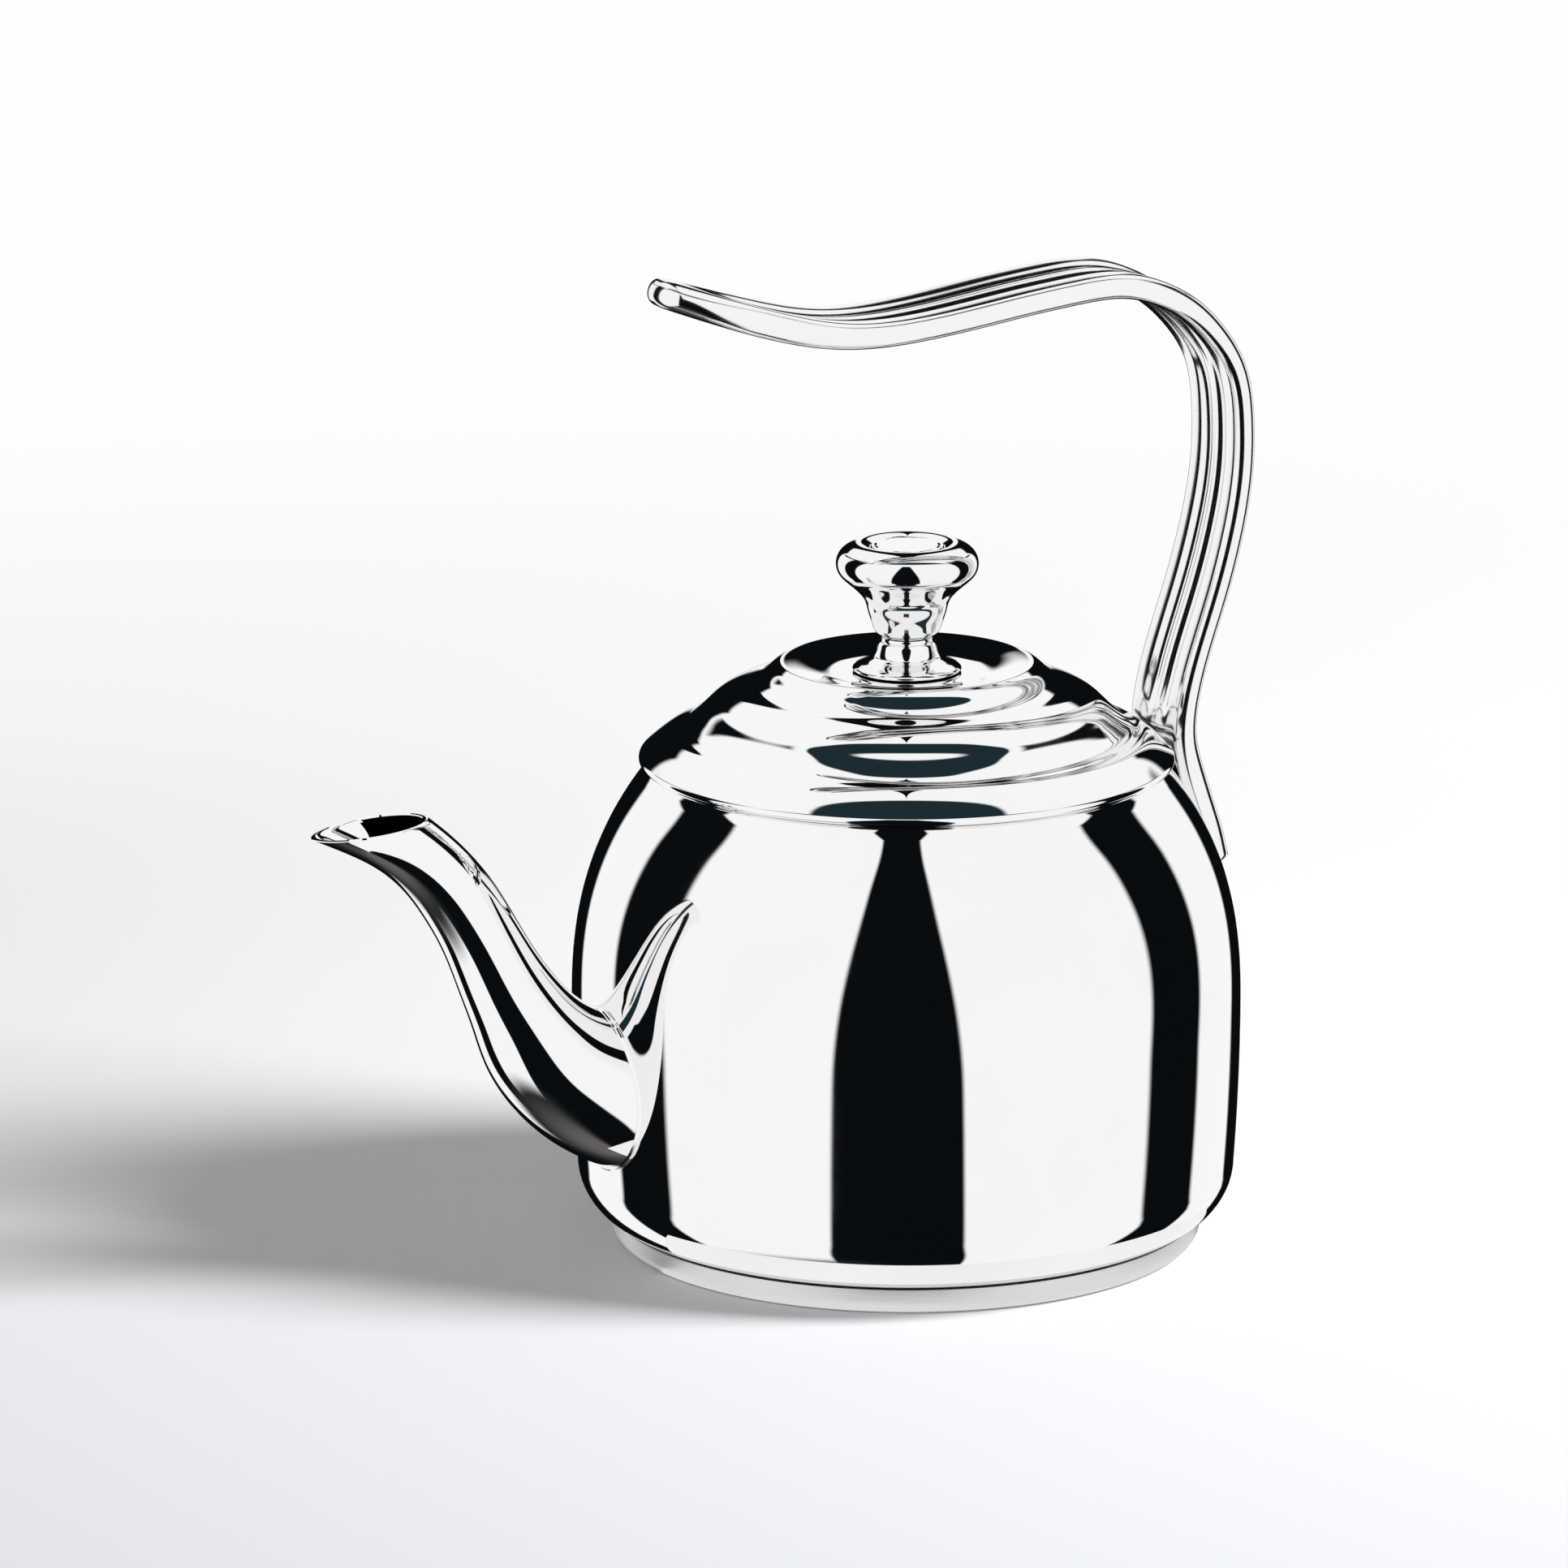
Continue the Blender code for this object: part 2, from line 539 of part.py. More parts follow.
def make_knob(steel, satin, rubber, parts):
    hole = KNOB_SCREW_RADIUS + SCREW_PLAY
    floor = LID_TOP_HEIGHT + SEAT_GAP
    foot_top = floor + KNOB_FOOT_HEIGHT
    flare = smooth_through([
        (KNOB_FOOT_WAIST, foot_top),
        (KNOB_FOOT_WAIST + KNOB_FOOT_SWELL, floor + 0.6 * KNOB_FOOT_HEIGHT),
        (0.5 * (KNOB_FOOT_WAIST + KNOB_FOOT_RADIUS) + KNOB_FOOT_SWELL, floor + 0.3 * KNOB_FOOT_HEIGHT),
        (KNOB_FOOT_RADIUS, floor + KNOB_FOOT_EDGE),
        (KNOB_FOOT_RADIUS - 0.4 * KNOB_FOOT_EDGE, floor),
    ], 2)
    foot = turned(
        "knob_foot", [(hole, foot_top)] + flare + [(hole, floor)],
        steel, parts, closed=True, steps=SMALL_ROUND_STEPS,
    )
    waist = foot_top + SEAT_GAP
    top = waist + KNOB_HEAD_HEIGHT
    widest = top - KNOB_CROWN_HEIGHT
    neck = waist + KNOB_NECK_HEIGHT
    side = smooth_through([
        (KNOB_DISH_RADIUS, top - 0.5 * KNOB_DISH_DEPTH),
        (KNOB_DISH_RADIUS + KNOB_DISH_LIP, top),
        (0.5 * (KNOB_DISH_RADIUS + KNOB_HEAD_RADIUS) + KNOB_CROWN_SWELL, top - 0.16 * KNOB_CROWN_HEIGHT),
        (KNOB_HEAD_RADIUS, widest),
        (0.45 * KNOB_NECK_RADIUS + 0.55 * KNOB_HEAD_RADIUS, 0.38 * neck + 0.62 * widest),
        (KNOB_NECK_RADIUS, neck),
        (0.5 * (KNOB_NECK_RADIUS + KNOB_WAIST_RADIUS), 0.5 * (neck + waist)),
        (KNOB_WAIST_RADIUS, waist),
    ], 3)
    dish = top - KNOB_DISH_DEPTH
    blind = waist + KNOB_SCREW_BITE + SEAT_GAP
    profile = [(0.0, dish), (KNOB_DISH_RADIUS, dish)] + side + [(hole, waist), (hole, blind), (0.0, blind)]
    head = turned("knob_head", profile, steel, parts, steps=SMALL_ROUND_STEPS)
    disc_bottom = dish + SEAT_GAP
    disc_top = disc_bottom + KNOB_DISC_THICKNESS
    disc_radius = KNOB_DISH_RADIUS - SEAT_GAP
    disc_edge = 0.25 * KNOB_DISC_THICKNESS
    disc_top_line = [(0.0, disc_top), (disc_radius - disc_edge, disc_top)]
    disc_side = [(disc_radius, disc_top - disc_edge), (disc_radius, disc_bottom), (0.0, disc_bottom)]
    disc = turned("knob_disc", disc_top_line + disc_side, satin, parts, steps=SMALL_ROUND_STEPS)
    seal_top = LID_TOP_HEIGHT - LID_WALL - SEAT_GAP
    seal_bottom = seal_top - KNOB_SEAL_THICKNESS
    washer_top = seal_bottom - SEAT_GAP
    washer_bottom = washer_top - KNOB_WASHER_THICKNESS
    head_top = washer_bottom - SEAT_GAP
    head_bottom = head_top - KNOB_SCREW_HEAD_HEIGHT
    seal_ring = ring_profile(hole, KNOB_SEAL_RADIUS, seal_bottom, seal_top)
    seal = turned("knob_seal", seal_ring, rubber, parts, closed=True, steps=SCREW_STEPS)
    washer_ring = ring_profile(hole, KNOB_WASHER_RADIUS, washer_bottom, washer_top)
    washer = turned("knob_washer", washer_ring, steel, parts, closed=True, steps=SCREW_STEPS)
    dome = smooth_through([
        (KNOB_SCREW_HEAD_RADIUS, head_top),
        (0.85 * KNOB_SCREW_HEAD_RADIUS, head_top - 0.7 * KNOB_SCREW_HEAD_HEIGHT),
        (0.0, head_bottom),
    ], 3)
    tip = waist + KNOB_SCREW_BITE
    shank = [(0.0, tip), (KNOB_SCREW_RADIUS, tip), (KNOB_SCREW_RADIUS, head_top)]
    screw = turned("knob_screw", shank + dome, steel, parts, steps=SCREW_STEPS)
    return [foot, head, disc, seal, washer, screw]


def main():
    for old in list(bpy.data.objects):
        bpy.data.objects.remove(old)
    parts = collection("kettle")
    cutters = collection("kettle_cutters")
    mirror = metal("mirror_steel", (0.78, 0.78, 0.79), 0.05)
    satin = metal("satin_steel", (0.62, 0.62, 0.62), 0.35)
    cast = metal("polished_cast_steel", (0.80, 0.80, 0.80), 0.08)
    aluminium = metal("core_aluminium", (0.55, 0.56, 0.57), 0.5)
    rubber = metal("seal_rubber", (0.05, 0.05, 0.05), 0.7, 0.0)
    body, body_room = make_body(mirror, parts, cutters)
    make_base(satin, aluminium, parts)
    make_spout(mirror, body, body_room, parts, cutters)
    handle = make_handle(cast, body_room, parts)
    make_handle_fasteners(satin, rubber, body, handle, parts, cutters)
    lift = bpy.data.objects.new("lid_lift", None)
    lift.location = (0.0, 0.0, LID_SEAT_HEIGHT)
    parts.objects.link(lift)
    bpy.context.view_layer.update()
    for piece in make_lid(mirror, parts) + make_knob(cast, satin, rubber, parts):
        piece.parent = lift
        piece.matrix_parent_inverse = lift.matrix_world.inverted()


main()
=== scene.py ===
"""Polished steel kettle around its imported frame: smooth mirror pieces, a studio and the camera."""

import math

import bmesh
import bpy
import numpy as np
from mathutils import Matrix, Vector


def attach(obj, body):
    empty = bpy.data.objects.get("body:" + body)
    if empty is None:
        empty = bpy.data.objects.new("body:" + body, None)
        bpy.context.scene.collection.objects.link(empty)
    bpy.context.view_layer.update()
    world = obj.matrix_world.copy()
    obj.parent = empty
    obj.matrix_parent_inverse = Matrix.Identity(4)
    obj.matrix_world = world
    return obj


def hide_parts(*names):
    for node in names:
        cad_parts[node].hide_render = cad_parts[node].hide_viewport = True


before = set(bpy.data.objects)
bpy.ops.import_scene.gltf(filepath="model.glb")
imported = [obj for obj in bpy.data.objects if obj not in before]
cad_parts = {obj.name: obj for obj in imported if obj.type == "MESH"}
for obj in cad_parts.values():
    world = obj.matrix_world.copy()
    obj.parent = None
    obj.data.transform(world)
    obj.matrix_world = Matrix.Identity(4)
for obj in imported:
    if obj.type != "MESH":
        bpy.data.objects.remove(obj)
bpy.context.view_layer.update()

MM = 0.001
MERGE = 0.002 * MM
SEAT_GAP = 0.3 * MM

# Body
BODY_RADIUS = 76.0 * MM
BELLY_HEIGHT = 54.0 * MM
BODY_FOOT_RADIUS = 74.8 * MM
BOTTOM_CORNER = 12.9 * MM
BODY_FLOOR = 5.2 * MM
NECK_RADIUS = 58.2 * MM
MOUTH_HEIGHT = 110.2 * MM
SHOULDER_POWER = 2.5
BODY_WALL = 0.8 * MM
MOUTH_RADIUS = 54.8 * MM
MOUTH_BEND = 1.4 * MM
MOUTH_LIP = 4.0 * MM

# Base
BASE_RADIUS = 67.2 * MM
BASE_TOP = 5.89 * MM
BASE_CORNER = 3.2 * MM
BASE_WALL = 0.8 * MM

# Spout: distance out from the belly, height over the root, outside radius, all in millimetres
SPOUT_ROOT_HEIGHT = 43.0 * MM
SPOUT_STATIONS = (
    (-14.0, -4.3, 18.40), (-5.0, -1.4, 17.60), (3.0, 2.0, 16.30), (9.6, 6.6, 14.90), (15.5, 13.0, 13.30),
    (20.2, 20.6, 11.30), (24.6, 28.8, 9.90), (29.2, 38.2, 9.00), (34.5, 47.4, 8.65), (41.2, 55.9, 8.15),
    (48.8, 62.7, 8.00), (57.5, 68.6, 8.60), (68.0, 74.4, 9.20),
)
SPOUT_WALL = 1.0 * MM
SPOUT_LIP = 0.3 * SPOUT_WALL
SPOUT_MOUTH = Vector((-131.0 * MM, 0.0, 109.1 * MM))
SPOUT_MOUTH_TILT = math.radians(5.0)
POUR_HOLE_RADIUS = 14.5 * MM
POUR_HOLE_AIM = 12  # point of the spout's line that the hole points at
WELD_RADIUS = 0.6 * MM
WELD_SINK = 0.15 * WELD_RADIUS

# Handle: place across and up, half width, half thickness, in millimetres, from its free end down the leg
HANDLE_STATIONS = (
    (-59.55, 223.2, 7.6, 3.15), (-55.2, 221.7, 9.6, 3.2), (-47.95, 219.2, 11.2, 3.2),
    (-35.95, 215.4, 12.2, 3.2), (-23.95, 212.6, 12.7, 3.03), (-11.95, 211.7, 13.0, 2.88),
    (0.05, 212.4, 13.1, 2.8), (12.05, 213.9, 13.2, 2.8), (24.45, 215.7, 13.3, 2.8),
    (37.05, 217.2, 13.3, 2.8), (49.05, 217.5, 13.2, 2.8), (58.05, 215.0, 13.1, 2.8),
    (65.45, 210.8, 12.9, 2.8), (72.05, 204.4, 12.7, 2.7), (77.25, 196.0, 12.5, 2.6),
    (79.45, 184.0, 12.4, 2.6), (79.25, 171.0, 12.3, 2.6), (76.95, 157.5, 12.3, 2.6),
    (73.25, 144.0, 12.3, 2.6), (68.95, 131.0, 12.3, 2.6), (66.05, 120.0, 12.4, 2.7),
    (65.25, 111.0, 12.6, 2.9), (66.95, 102.4, 12.8, 3.3), (69.21, 95.6, 12.8, 3.3),
    (71.78, 88.0, 12.7, 3.3), (73.79, 81.8, 12.0, 3.15),
)
RAIL_WIDTH = 6.3 * MM
RAIL_ROUND = 2.3 * MM
WALL_WIDTH = 2.4 * MM
CHANNEL_DEPTH = 1.05 * MM
CHANNEL_CROWN = 0.25 * MM
CHANNEL_RUN_IN = 22.0 * MM
CHANNEL_FADE = 14.0 * MM

# Channel's wall: shares of its width inwards, and of the channel's depth
CHANNEL_WALL = ((-0.3, 0.03), (0.0, 0.14), (0.5, 0.6), (1.0, 0.95), (1.4, 1.0))

# Largest shares that the section's features take where the handle is narrow
RAIL_SHARE = 0.5
ROUND_SHARE = 0.4
CHANNEL_SHARE = 0.7
WALL_SHARE = 0.5
PANEL_SHARE = 0.4

# Handle's ends: shares of the tip left to go, and turns round the tongue's end in degrees
HANDLE_TIP = 3.4 * MM
TIP_ROUND = 16.0 * MM
TIP_EDGE = 0.7
TIP_FADE = 20.0 * MM
TIP_BLUNT = 0.42
TIP_LEFT = (0.8, 0.62, 0.46, 0.32, 0.2, 0.11, 0.05, 0.015)
TONGUE_END = 1.2 * MM
TONGUE_BLUNT = 0.3
TONGUE_TURNS = (15, 30, 45, 58, 70, 80, 87)

# Lid: radius, and height over the underside of the rim, in millimetres
LID_SEAT = MOUTH_HEIGHT + SEAT_GAP
LID_STEPS = (
    (13.5, 21.0), (16.2, 21.0), (17.6, 21.15), (20.5, 21.75), (24.0, 22.45), (27.3, 23.05), (28.2, 23.2),
    (28.6, 23.2), (29.1, 22.97), (30.0, 22.4), (32.2, 20.4), (34.6, 18.75), (38.0, 17.5), (41.5, 15.9),
    (43.0, 14.95), (44.0, 14.14), (45.0, 13.216), (45.8, 12.402), (46.3, 11.887), (47.5, 10.714),
    (48.6, 9.706), (49.6, 8.867), (50.6, 8.134), (53.3, 7.0), (56.2, 5.2), (58.9, 2.95),
)
LID_FLAT_FROM = 7.0 * MM
LID_RIM = 60.6 * MM
LID_EDGE = 1.0 * MM
LID_HEM = 3.6 * MM
LID_WALL = 0.8 * MM
LID_TOP = LID_SEAT + 21.0 * MM
SKIRT_RADIUS = 54.2 * MM
SKIRT_FLANGE = 3.2 * MM
SKIRT_DEPTH = 9.0 * MM
SKIRT_WALL = 0.7 * MM
FLANGE_STEPS = 4
SCREW_HOLE = 2.3 * MM

# Knob: radius and height in millimetres, the foot's over the lid and the head's over the foot
KNOB_FLOOR = LID_TOP + SEAT_GAP
KNOB_FOOT_HEIGHT = 7.6 * MM
KNOB_HEAD_HEIGHT = 21.4 * MM
FOOT_FLARE = (
    (5.7, 7.6), (5.75, 7.0), (6.25, 6.45), (6.6, 5.5), (6.95, 4.4), (7.55, 3.4), (8.5, 2.65), (9.7, 2.1),
    (10.9, 1.6), (11.8, 1.05), (12.25, 0.6),
)
FOOT_EDGE = ((12.25, 0.6), (12.3, 0.35), (12.15, 0.1), (11.9, 0.0))
HEAD_SIDE = (
    (8.6, 20.5), (10.2, 21.4), (13.4, 20.7), (15.3, 19.1), (16.1, 16.8), (15.6, 14.6), (13.5, 12.4),
    (10.9, 10.0), (9.6, 8.2), (9.0, 6.2), (8.3, 3.9), (7.75, 2.3), (7.4, 1.35), (6.8, 0.7), (5.95, 0.3),
    (5.7, 0.0),
)
DISH_RADIUS = 8.6 * MM
DISH_DEPTH = 1.8 * MM
THREAD_DEPTH = 9.3 * MM
DISC_RADIUS = 8.3 * MM
DISC_THICKNESS = 0.9 * MM

# Knob's disc: radius, and depth under its face, in millimetres
DISC_FACE = ((0.0, 0.0), (6.9, 0.0), (7.2, 0.25), (7.5, 0.0), (8.1, 0.0), (8.3, 0.2))

# Facets
TURN_STEPS = 160
KNOB_STEPS = 96
TUBE_SIDES = 72
TUBE_RINGS = 90
WELD_SIDES = 10
BODY_KNOTS = 14
HALVINGS = 36  # rounds in the search for a length

# Angles in degrees over which an edge is shaded sharp
SHARP_SHEET = 32.0
SHARP_KNOB = 40.0
SHARP_LOFT = 50.0

# Photograph's view
CAMERA_TARGET = Vector((-0.0306, 0.0, 0.1083))
CAMERA_DISTANCE = 2.4
CAMERA_AZIMUTH = math.radians(-25.0)
CAMERA_ELEVATION = math.radians(14.3)
CAMERA_LENS = 245.0
CAMERA_SENSOR = 36.0
CAMERA_CLIP = 20.0

# Steel: two colours, and the least roughness
SHEET_STEEL = (0.88, 0.88, 0.885), (0.95, 0.95, 0.955), 0.012
KNOB_STEEL = (0.86, 0.86, 0.865), (0.95, 0.95, 0.955), 0.04
GRIP_STEEL = (0.86, 0.86, 0.865), (0.95, 0.95, 0.955), 0.115
SATIN_STEEL = (0.62, 0.62, 0.625), (0.90, 0.90, 0.905), 0.36
CORE_ALUMINIUM = (0.50, 0.51, 0.52), (0.62, 0.63, 0.64), 0.42
RUBBER_COLOURS = (0.03, 0.03, 0.03), (0.07, 0.07, 0.072)
RUBBER_ROUGH = 0.55

# Polish: sizes of its marks per metre, their strength, and the height of its ripple
WIPE_SCALE = 26.0
WIPE_EDGE = (0.62, 0.5)
WIPE_DULLING = 0.05
SWELL_SCALE = 60.0
GRAIN_SCALE = 900.0
GRAIN_SHARE = 0.02
RIPPLE = 0.004 * MM

# Brushing round the axis: lines per metre across it and per radian along it
BRUSH_ACROSS = 2600.0
BRUSH_ALONG = 1.6
BRUSH_SHARE = 0.7
BRUSH_DULLING = 0.16
BRUSH_HEIGHT = 0.03 * MM
STAIN_SCALE = 40.0

# Rubber's skin
SKIN_SCALE = 2400.0
SKIN_DULLING = 0.2
SKIN_HEIGHT = 0.05 * MM
BLOOM_SCALE = 160.0

# Floor, in metres: an edge is where it lies and how soft it is
FLOOR_SIZE = 5.0
FLOOR_CELLS = 8
FLOOR_NEAR_RIGHT = (0.93, 0.93, 0.935)
# Painted shade: the floor's colour is darker and bluer towards the near left
FLOOR_SHADE_LEFT = (0.70, 0.72, 0.76)
FLOOR_SCALE = 6.0
FLOOR_DULLING = 0.1
FLOOR_ROUGH = 0.75
SHADE_SLANT = 0.55
SHADE_EDGE = (0.15, 1.1)
FAR_EDGE = (0.55, 0.8)
FAR_GREY = (0.70, 0.71, 0.725)
FAR_WHITE = (0.99, 0.99, 0.99)
BEHIND_EDGE = (0.35, 0.3)

# White card beside the base, in metres and degrees
CARD_RADII = (0.064, 0.083)
CARD_FROM = 188.0
CARD_TO = 330.0
CARD_STEPS = 64
CARD_HEIGHT = 0.0004
CARD_SCALE = 14.0
CARD_WHITES = (0.9, 0.9, 0.905), (1.0, 1.0, 1.0)

# Studio's colours and light
TENT_WHITE = (1.0, 1.0, 1.0)
PANEL_BLACK = (0.003, 0.004, 0.005)
CANOPY_SLATE = (0.013, 0.026, 0.034)
# Painted shadow of the kettle on the floor, as the metal mirrors it: its two tones
SHADOW_STEEP_GREY = (0.13, 0.122, 0.118)
SHADOW_DARKEST = (0.02, 0.022, 0.023)
BACKDROP = (0.97, 0.97, 0.975)
TENT_LIGHT = 0.36
KEY_PLACE = (1.5, -1.1, 1.5)
KEY_SIZE = 0.9
KEY_POWER = 70.0

# Studio's panels, in degrees round from the camera and up from the level: an edge is its place and softness
FRONT_MIDDLE = -3.4
FRONT_HALF_WIDTH = 22.2
FRONT_WIDTH_AT = -14.0
FRONT_TAPER = 0.16
FRONT_SOFT = 2.0
FRONT_TOP = (63.0, 2.0)
SIDE_NEAR = (92.0, 3.0)
SIDE_FAR = (120.0, 3.0)
SIDE_TOP = (48.0, 3.0)
SIDE_SLANT = 0.42
STRIP_NEAR = (98.0, 5.0)
STRIP_FAR = (146.0, 6.0)
STRIP_HALF_WIDTH = (2.2, 1.5)
STRIP_HEIGHT = 56.0
STRIP_HEIGHT_AT = 90.0
STRIP_SLANT = 0.66
BACK_NEAR = (150.0, 3.0)
BACK_TOP = 24.0
BACK_SOFT = 3.0
BACK_PEAK_FROM = 163.0
BACK_PEAK_SLANT = 4.0
BACK_GAP_NEAR = (175.5, 2.0)
BACK_GAP_BOTTOM = (-9.0, 3.0)
BACK_GAP_TOP = (21.0, 2.0)
GROUND_TOP = (-50.0, 14.0)
GROUND_RIGHT = (-18.0, 30.0)
GROUND_BACK = (-162.0, 30.0)
GROUND_SHADE = (-68.0, 30.0)

# Panel overhead, as shares of a unit direction
CANOPY_HALF_WIDTH = 0.72
CANOPY_REACH = 0.25
CANOPY_EDGE = (0.0, 0.02)
CANOPY_LOW = (0.3, 0.1)


class Value:
    """A shader socket that can stand in a sum."""

    def __init__(self, graph, socket):
        self.graph = graph
        self.socket = socket

    def __add__(self, other):
        return self.graph.math("ADD", self, other)

    def __sub__(self, other):
        return self.graph.math("SUBTRACT", self, other)

    def __rsub__(self, other):
        return self.graph.math("SUBTRACT", other, self)

    def __mul__(self, other):
        return self.graph.math("MULTIPLY", self, other)

    def __truediv__(self, other):
        return self.graph.math("DIVIDE", self, other)

    def __pow__(self, other):
        return self.graph.math("POWER", self, other)

    def __abs__(self):
        return self.graph.math("ABSOLUTE", self)

    __radd__ = __add__
    __rmul__ = __mul__

    def most(self, other):
        return self.graph.math("MAXIMUM", self, other)

    def rises(self, at, soft):
        """0 below a value and 1 above it, over a soft edge."""
        return self.graph.node(
            "ShaderNodeMapRange", {"interpolation_type": "SMOOTHSTEP"},
            {"Value": self, "From Min": at - soft / 2, "From Max": at + soft / 2},
        )

    def falls(self, at, soft):
        """1 below a value and 0 above it, over a soft edge."""
        return 1 - self.rises(at, soft)


class Graph:
    """The nodes of one material or of the world."""

    def __init__(self, owner):
        owner.use_nodes = True
        self.tree = owner.node_tree
        self.tree.nodes.clear()

    def node(self, kind, settings=None, inputs=None, out=0):
        """Any node, from its settings and the values or links of its sockets."""
        made = self.tree.nodes.new(kind)
        for name, value in (settings or {}).items():
            setattr(made, name, value)
        for key, value in (inputs or {}).items():
            if isinstance(value, Value):
                self.tree.links.new(value.socket, made.inputs[key])
            else:
                made.inputs[key].default_value = value
        return Value(self, made.outputs[out]) if made.outputs else None

    def math(self, operation, *values):
        return self.node("ShaderNodeMath", {"operation": operation}, dict(enumerate(values)))

    def axes(self, spot):
        """The three values of a vector."""
        return [self.node("ShaderNodeSeparateXYZ", inputs={0: spot}, out=i) for i in range(3)]

    def place(self):
        """Object coordinates, as a vector and as three values."""
        spot = self.node("ShaderNodeTexCoord", out="Object")
        return spot, self.axes(spot)

    def cloud(self, spot, scale, detail=2.0, roughness=0.5):
        return self.node(
            "ShaderNodeTexNoise",
            inputs={"Vector": spot, "Scale": scale, "Detail": detail, "Roughness": roughness},
        )

    def bump(self, height, distance, strength):
        return self.node(
            "ShaderNodeBump", inputs={"Strength": strength, "Distance": distance, "Height": height},
        )

    def blend(self, share, first, second):
        """A colour between two, by a share."""
        first, second = (c if isinstance(c, Value) else (*c, 1.0) for c in (first, second))
        return self.node(
            "ShaderNodeMix", {"data_type": "RGBA"}, {"Factor": share, 6: first, 7: second}, out=2,
        )

    def ray(self, kind):
        return self.node("ShaderNodeLightPath", out=kind)

    def finish(self, shader):
        self.node("ShaderNodeOutputMaterial", inputs={"Surface": shader})


def finish_of(name, build):
    """A named material whose nodes are made by a function."""
    made = bpy.data.materials.new(name)
    build(Graph(made))
    return made


def mirror_finish(dull, bright, gloss):
    """Polished steel: faint wiping marks in its gloss and a ripple that shows only in reflections."""
    def build(graph):
        spot, _ = graph.place()
        wipe = graph.cloud(spot, WIPE_SCALE, detail=4.0, roughness=0.6)
        grain = graph.cloud(spot, GRAIN_SCALE)
        swell = graph.cloud(spot, SWELL_SCALE, detail=1.0)
        graph.finish(graph.node("ShaderNodeBsdfPrincipled", inputs={
            "Base Color": graph.blend(wipe, dull, bright),
            "Metallic": 1.0,
            "Roughness": wipe.rises(*WIPE_EDGE) * WIPE_DULLING + gloss,
            "Normal": graph.bump(swell + grain * GRAIN_SHARE, RIPPLE, strength=1.0),
        }))
    return build


def brushed_finish(dull, bright, rough):
    """Satin metal brushed round the kettle's axis."""
    def build(graph):
        spot, (x, y, z) = graph.place()
        radius = (x * x + y * y) ** 0.5
        turn = graph.math("ARCTAN2", y, x)
        track = graph.node("ShaderNodeCombineXYZ", inputs={
            0: radius * BRUSH_ACROSS, 1: turn * BRUSH_ALONG, 2: z * BRUSH_ACROSS,
        })
        lines = graph.cloud(track, 1.0, detail=3.0, roughness=0.65)
        stain = graph.cloud(spot, STAIN_SCALE, detail=3.0)
        graph.finish(graph.node("ShaderNodeBsdfPrincipled", inputs={
            "Base Color": graph.blend(lines * BRUSH_SHARE + stain * (1 - BRUSH_SHARE), dull, bright),
            "Metallic": 1.0,
            "Roughness": lines * BRUSH_DULLING + rough,
            "Normal": graph.bump(lines, BRUSH_HEIGHT, strength=0.35),
        }))
    return build


def seal_finish(graph):
    """Matt rubber with a fine moulded skin."""
    spot, _ = graph.place()
    skin = graph.cloud(spot, SKIN_SCALE)
    bloom = graph.cloud(spot, BLOOM_SCALE, detail=3.0)
    graph.finish(graph.node("ShaderNodeBsdfPrincipled", inputs={
        "Base Color": graph.blend(bloom, *RUBBER_COLOURS),
        "Roughness": skin * SKIN_DULLING + RUBBER_ROUGH,
        "Normal": graph.bump(skin, SKIN_HEIGHT, strength=0.4),
    }))


def floor_finish(graph):
    """Pale floor with painted shade, darker and bluer towards the near left, that far off turns white behind
    and grey elsewhere.
    """
    spot, (x, y, _) = graph.place()
    # Painted shade, darker and bluer towards the near left
    left_painted_shade = (x * -SHADE_SLANT - y).rises(*SHADE_EDGE)
    paper = graph.node("ShaderNodeBsdfPrincipled", inputs={
        "Base Color": graph.blend(left_painted_shade, FLOOR_NEAR_RIGHT, FLOOR_SHADE_LEFT),
        "Roughness": graph.cloud(spot, FLOOR_SCALE) * FLOOR_DULLING + FLOOR_ROUGH,
        "Specular IOR Level": 0.0,
    })
    behind = y * math.cos(CAMERA_AZIMUTH) - x * math.sin(CAMERA_AZIMUTH)
    backdrop = graph.node("ShaderNodeEmission", inputs={
        "Color": graph.blend(behind.rises(*BEHIND_EDGE), FAR_GREY, FAR_WHITE),
    })
    far_off = ((x * x + y * y) ** 0.5).rises(*FAR_EDGE)
    share = far_off * graph.ray("Is Camera Ray")
    graph.finish(graph.node("ShaderNodeMixShader", inputs={0: share, 1: paper, 2: backdrop}))


def card_finish(graph):
    """White card with a clouded face."""
    spot, _ = graph.place()
    graph.finish(graph.node("ShaderNodeEmission", inputs={
        "Color": graph.blend(graph.cloud(spot, CARD_SCALE), *CARD_WHITES),
    }))


def scaled(points):
    """Millimetres as metres."""
    return [tuple(v * MM for v in point) for point in points]


def fair_line(points, per_span):
    """Points on a curve through the given ones, whose bend changes without a step."""
    knots = np.array(points, float)
    gaps = np.linalg.norm(np.diff(knots[:, :2], axis=0), axis=1)
    system = np.eye(len(knots))
    wanted = np.zeros_like(knots)
    for i in range(1, len(knots) - 1):
        system[i, i - 1:i + 2] = gaps[i - 1], 2 * (gaps[i - 1] + gaps[i]), gaps[i]
        wanted[i] = 6 * ((knots[i + 1] - knots[i]) / gaps[i] - (knots[i] - knots[i - 1]) / gaps[i - 1])
    bends = np.linalg.solve(system, wanted)
    line = []
    for i, gap in enumerate(gaps):
        for k in range(per_span):
            t = k / per_span
            s = 1 - t
            sag = (s ** 3 - s) * bends[i] + (t ** 3 - t) * bends[i + 1]
            line.append(tuple(s * knots[i] + t * knots[i + 1] + gap ** 2 / 6 * sag))
    line.append(tuple(knots[-1]))
    return line


def lengths_along(line):
    """Length from a line's start to each of its points."""
    return np.concatenate([[0.0], np.cumsum(np.linalg.norm(np.diff(line[:, :2], axis=0), axis=1))])


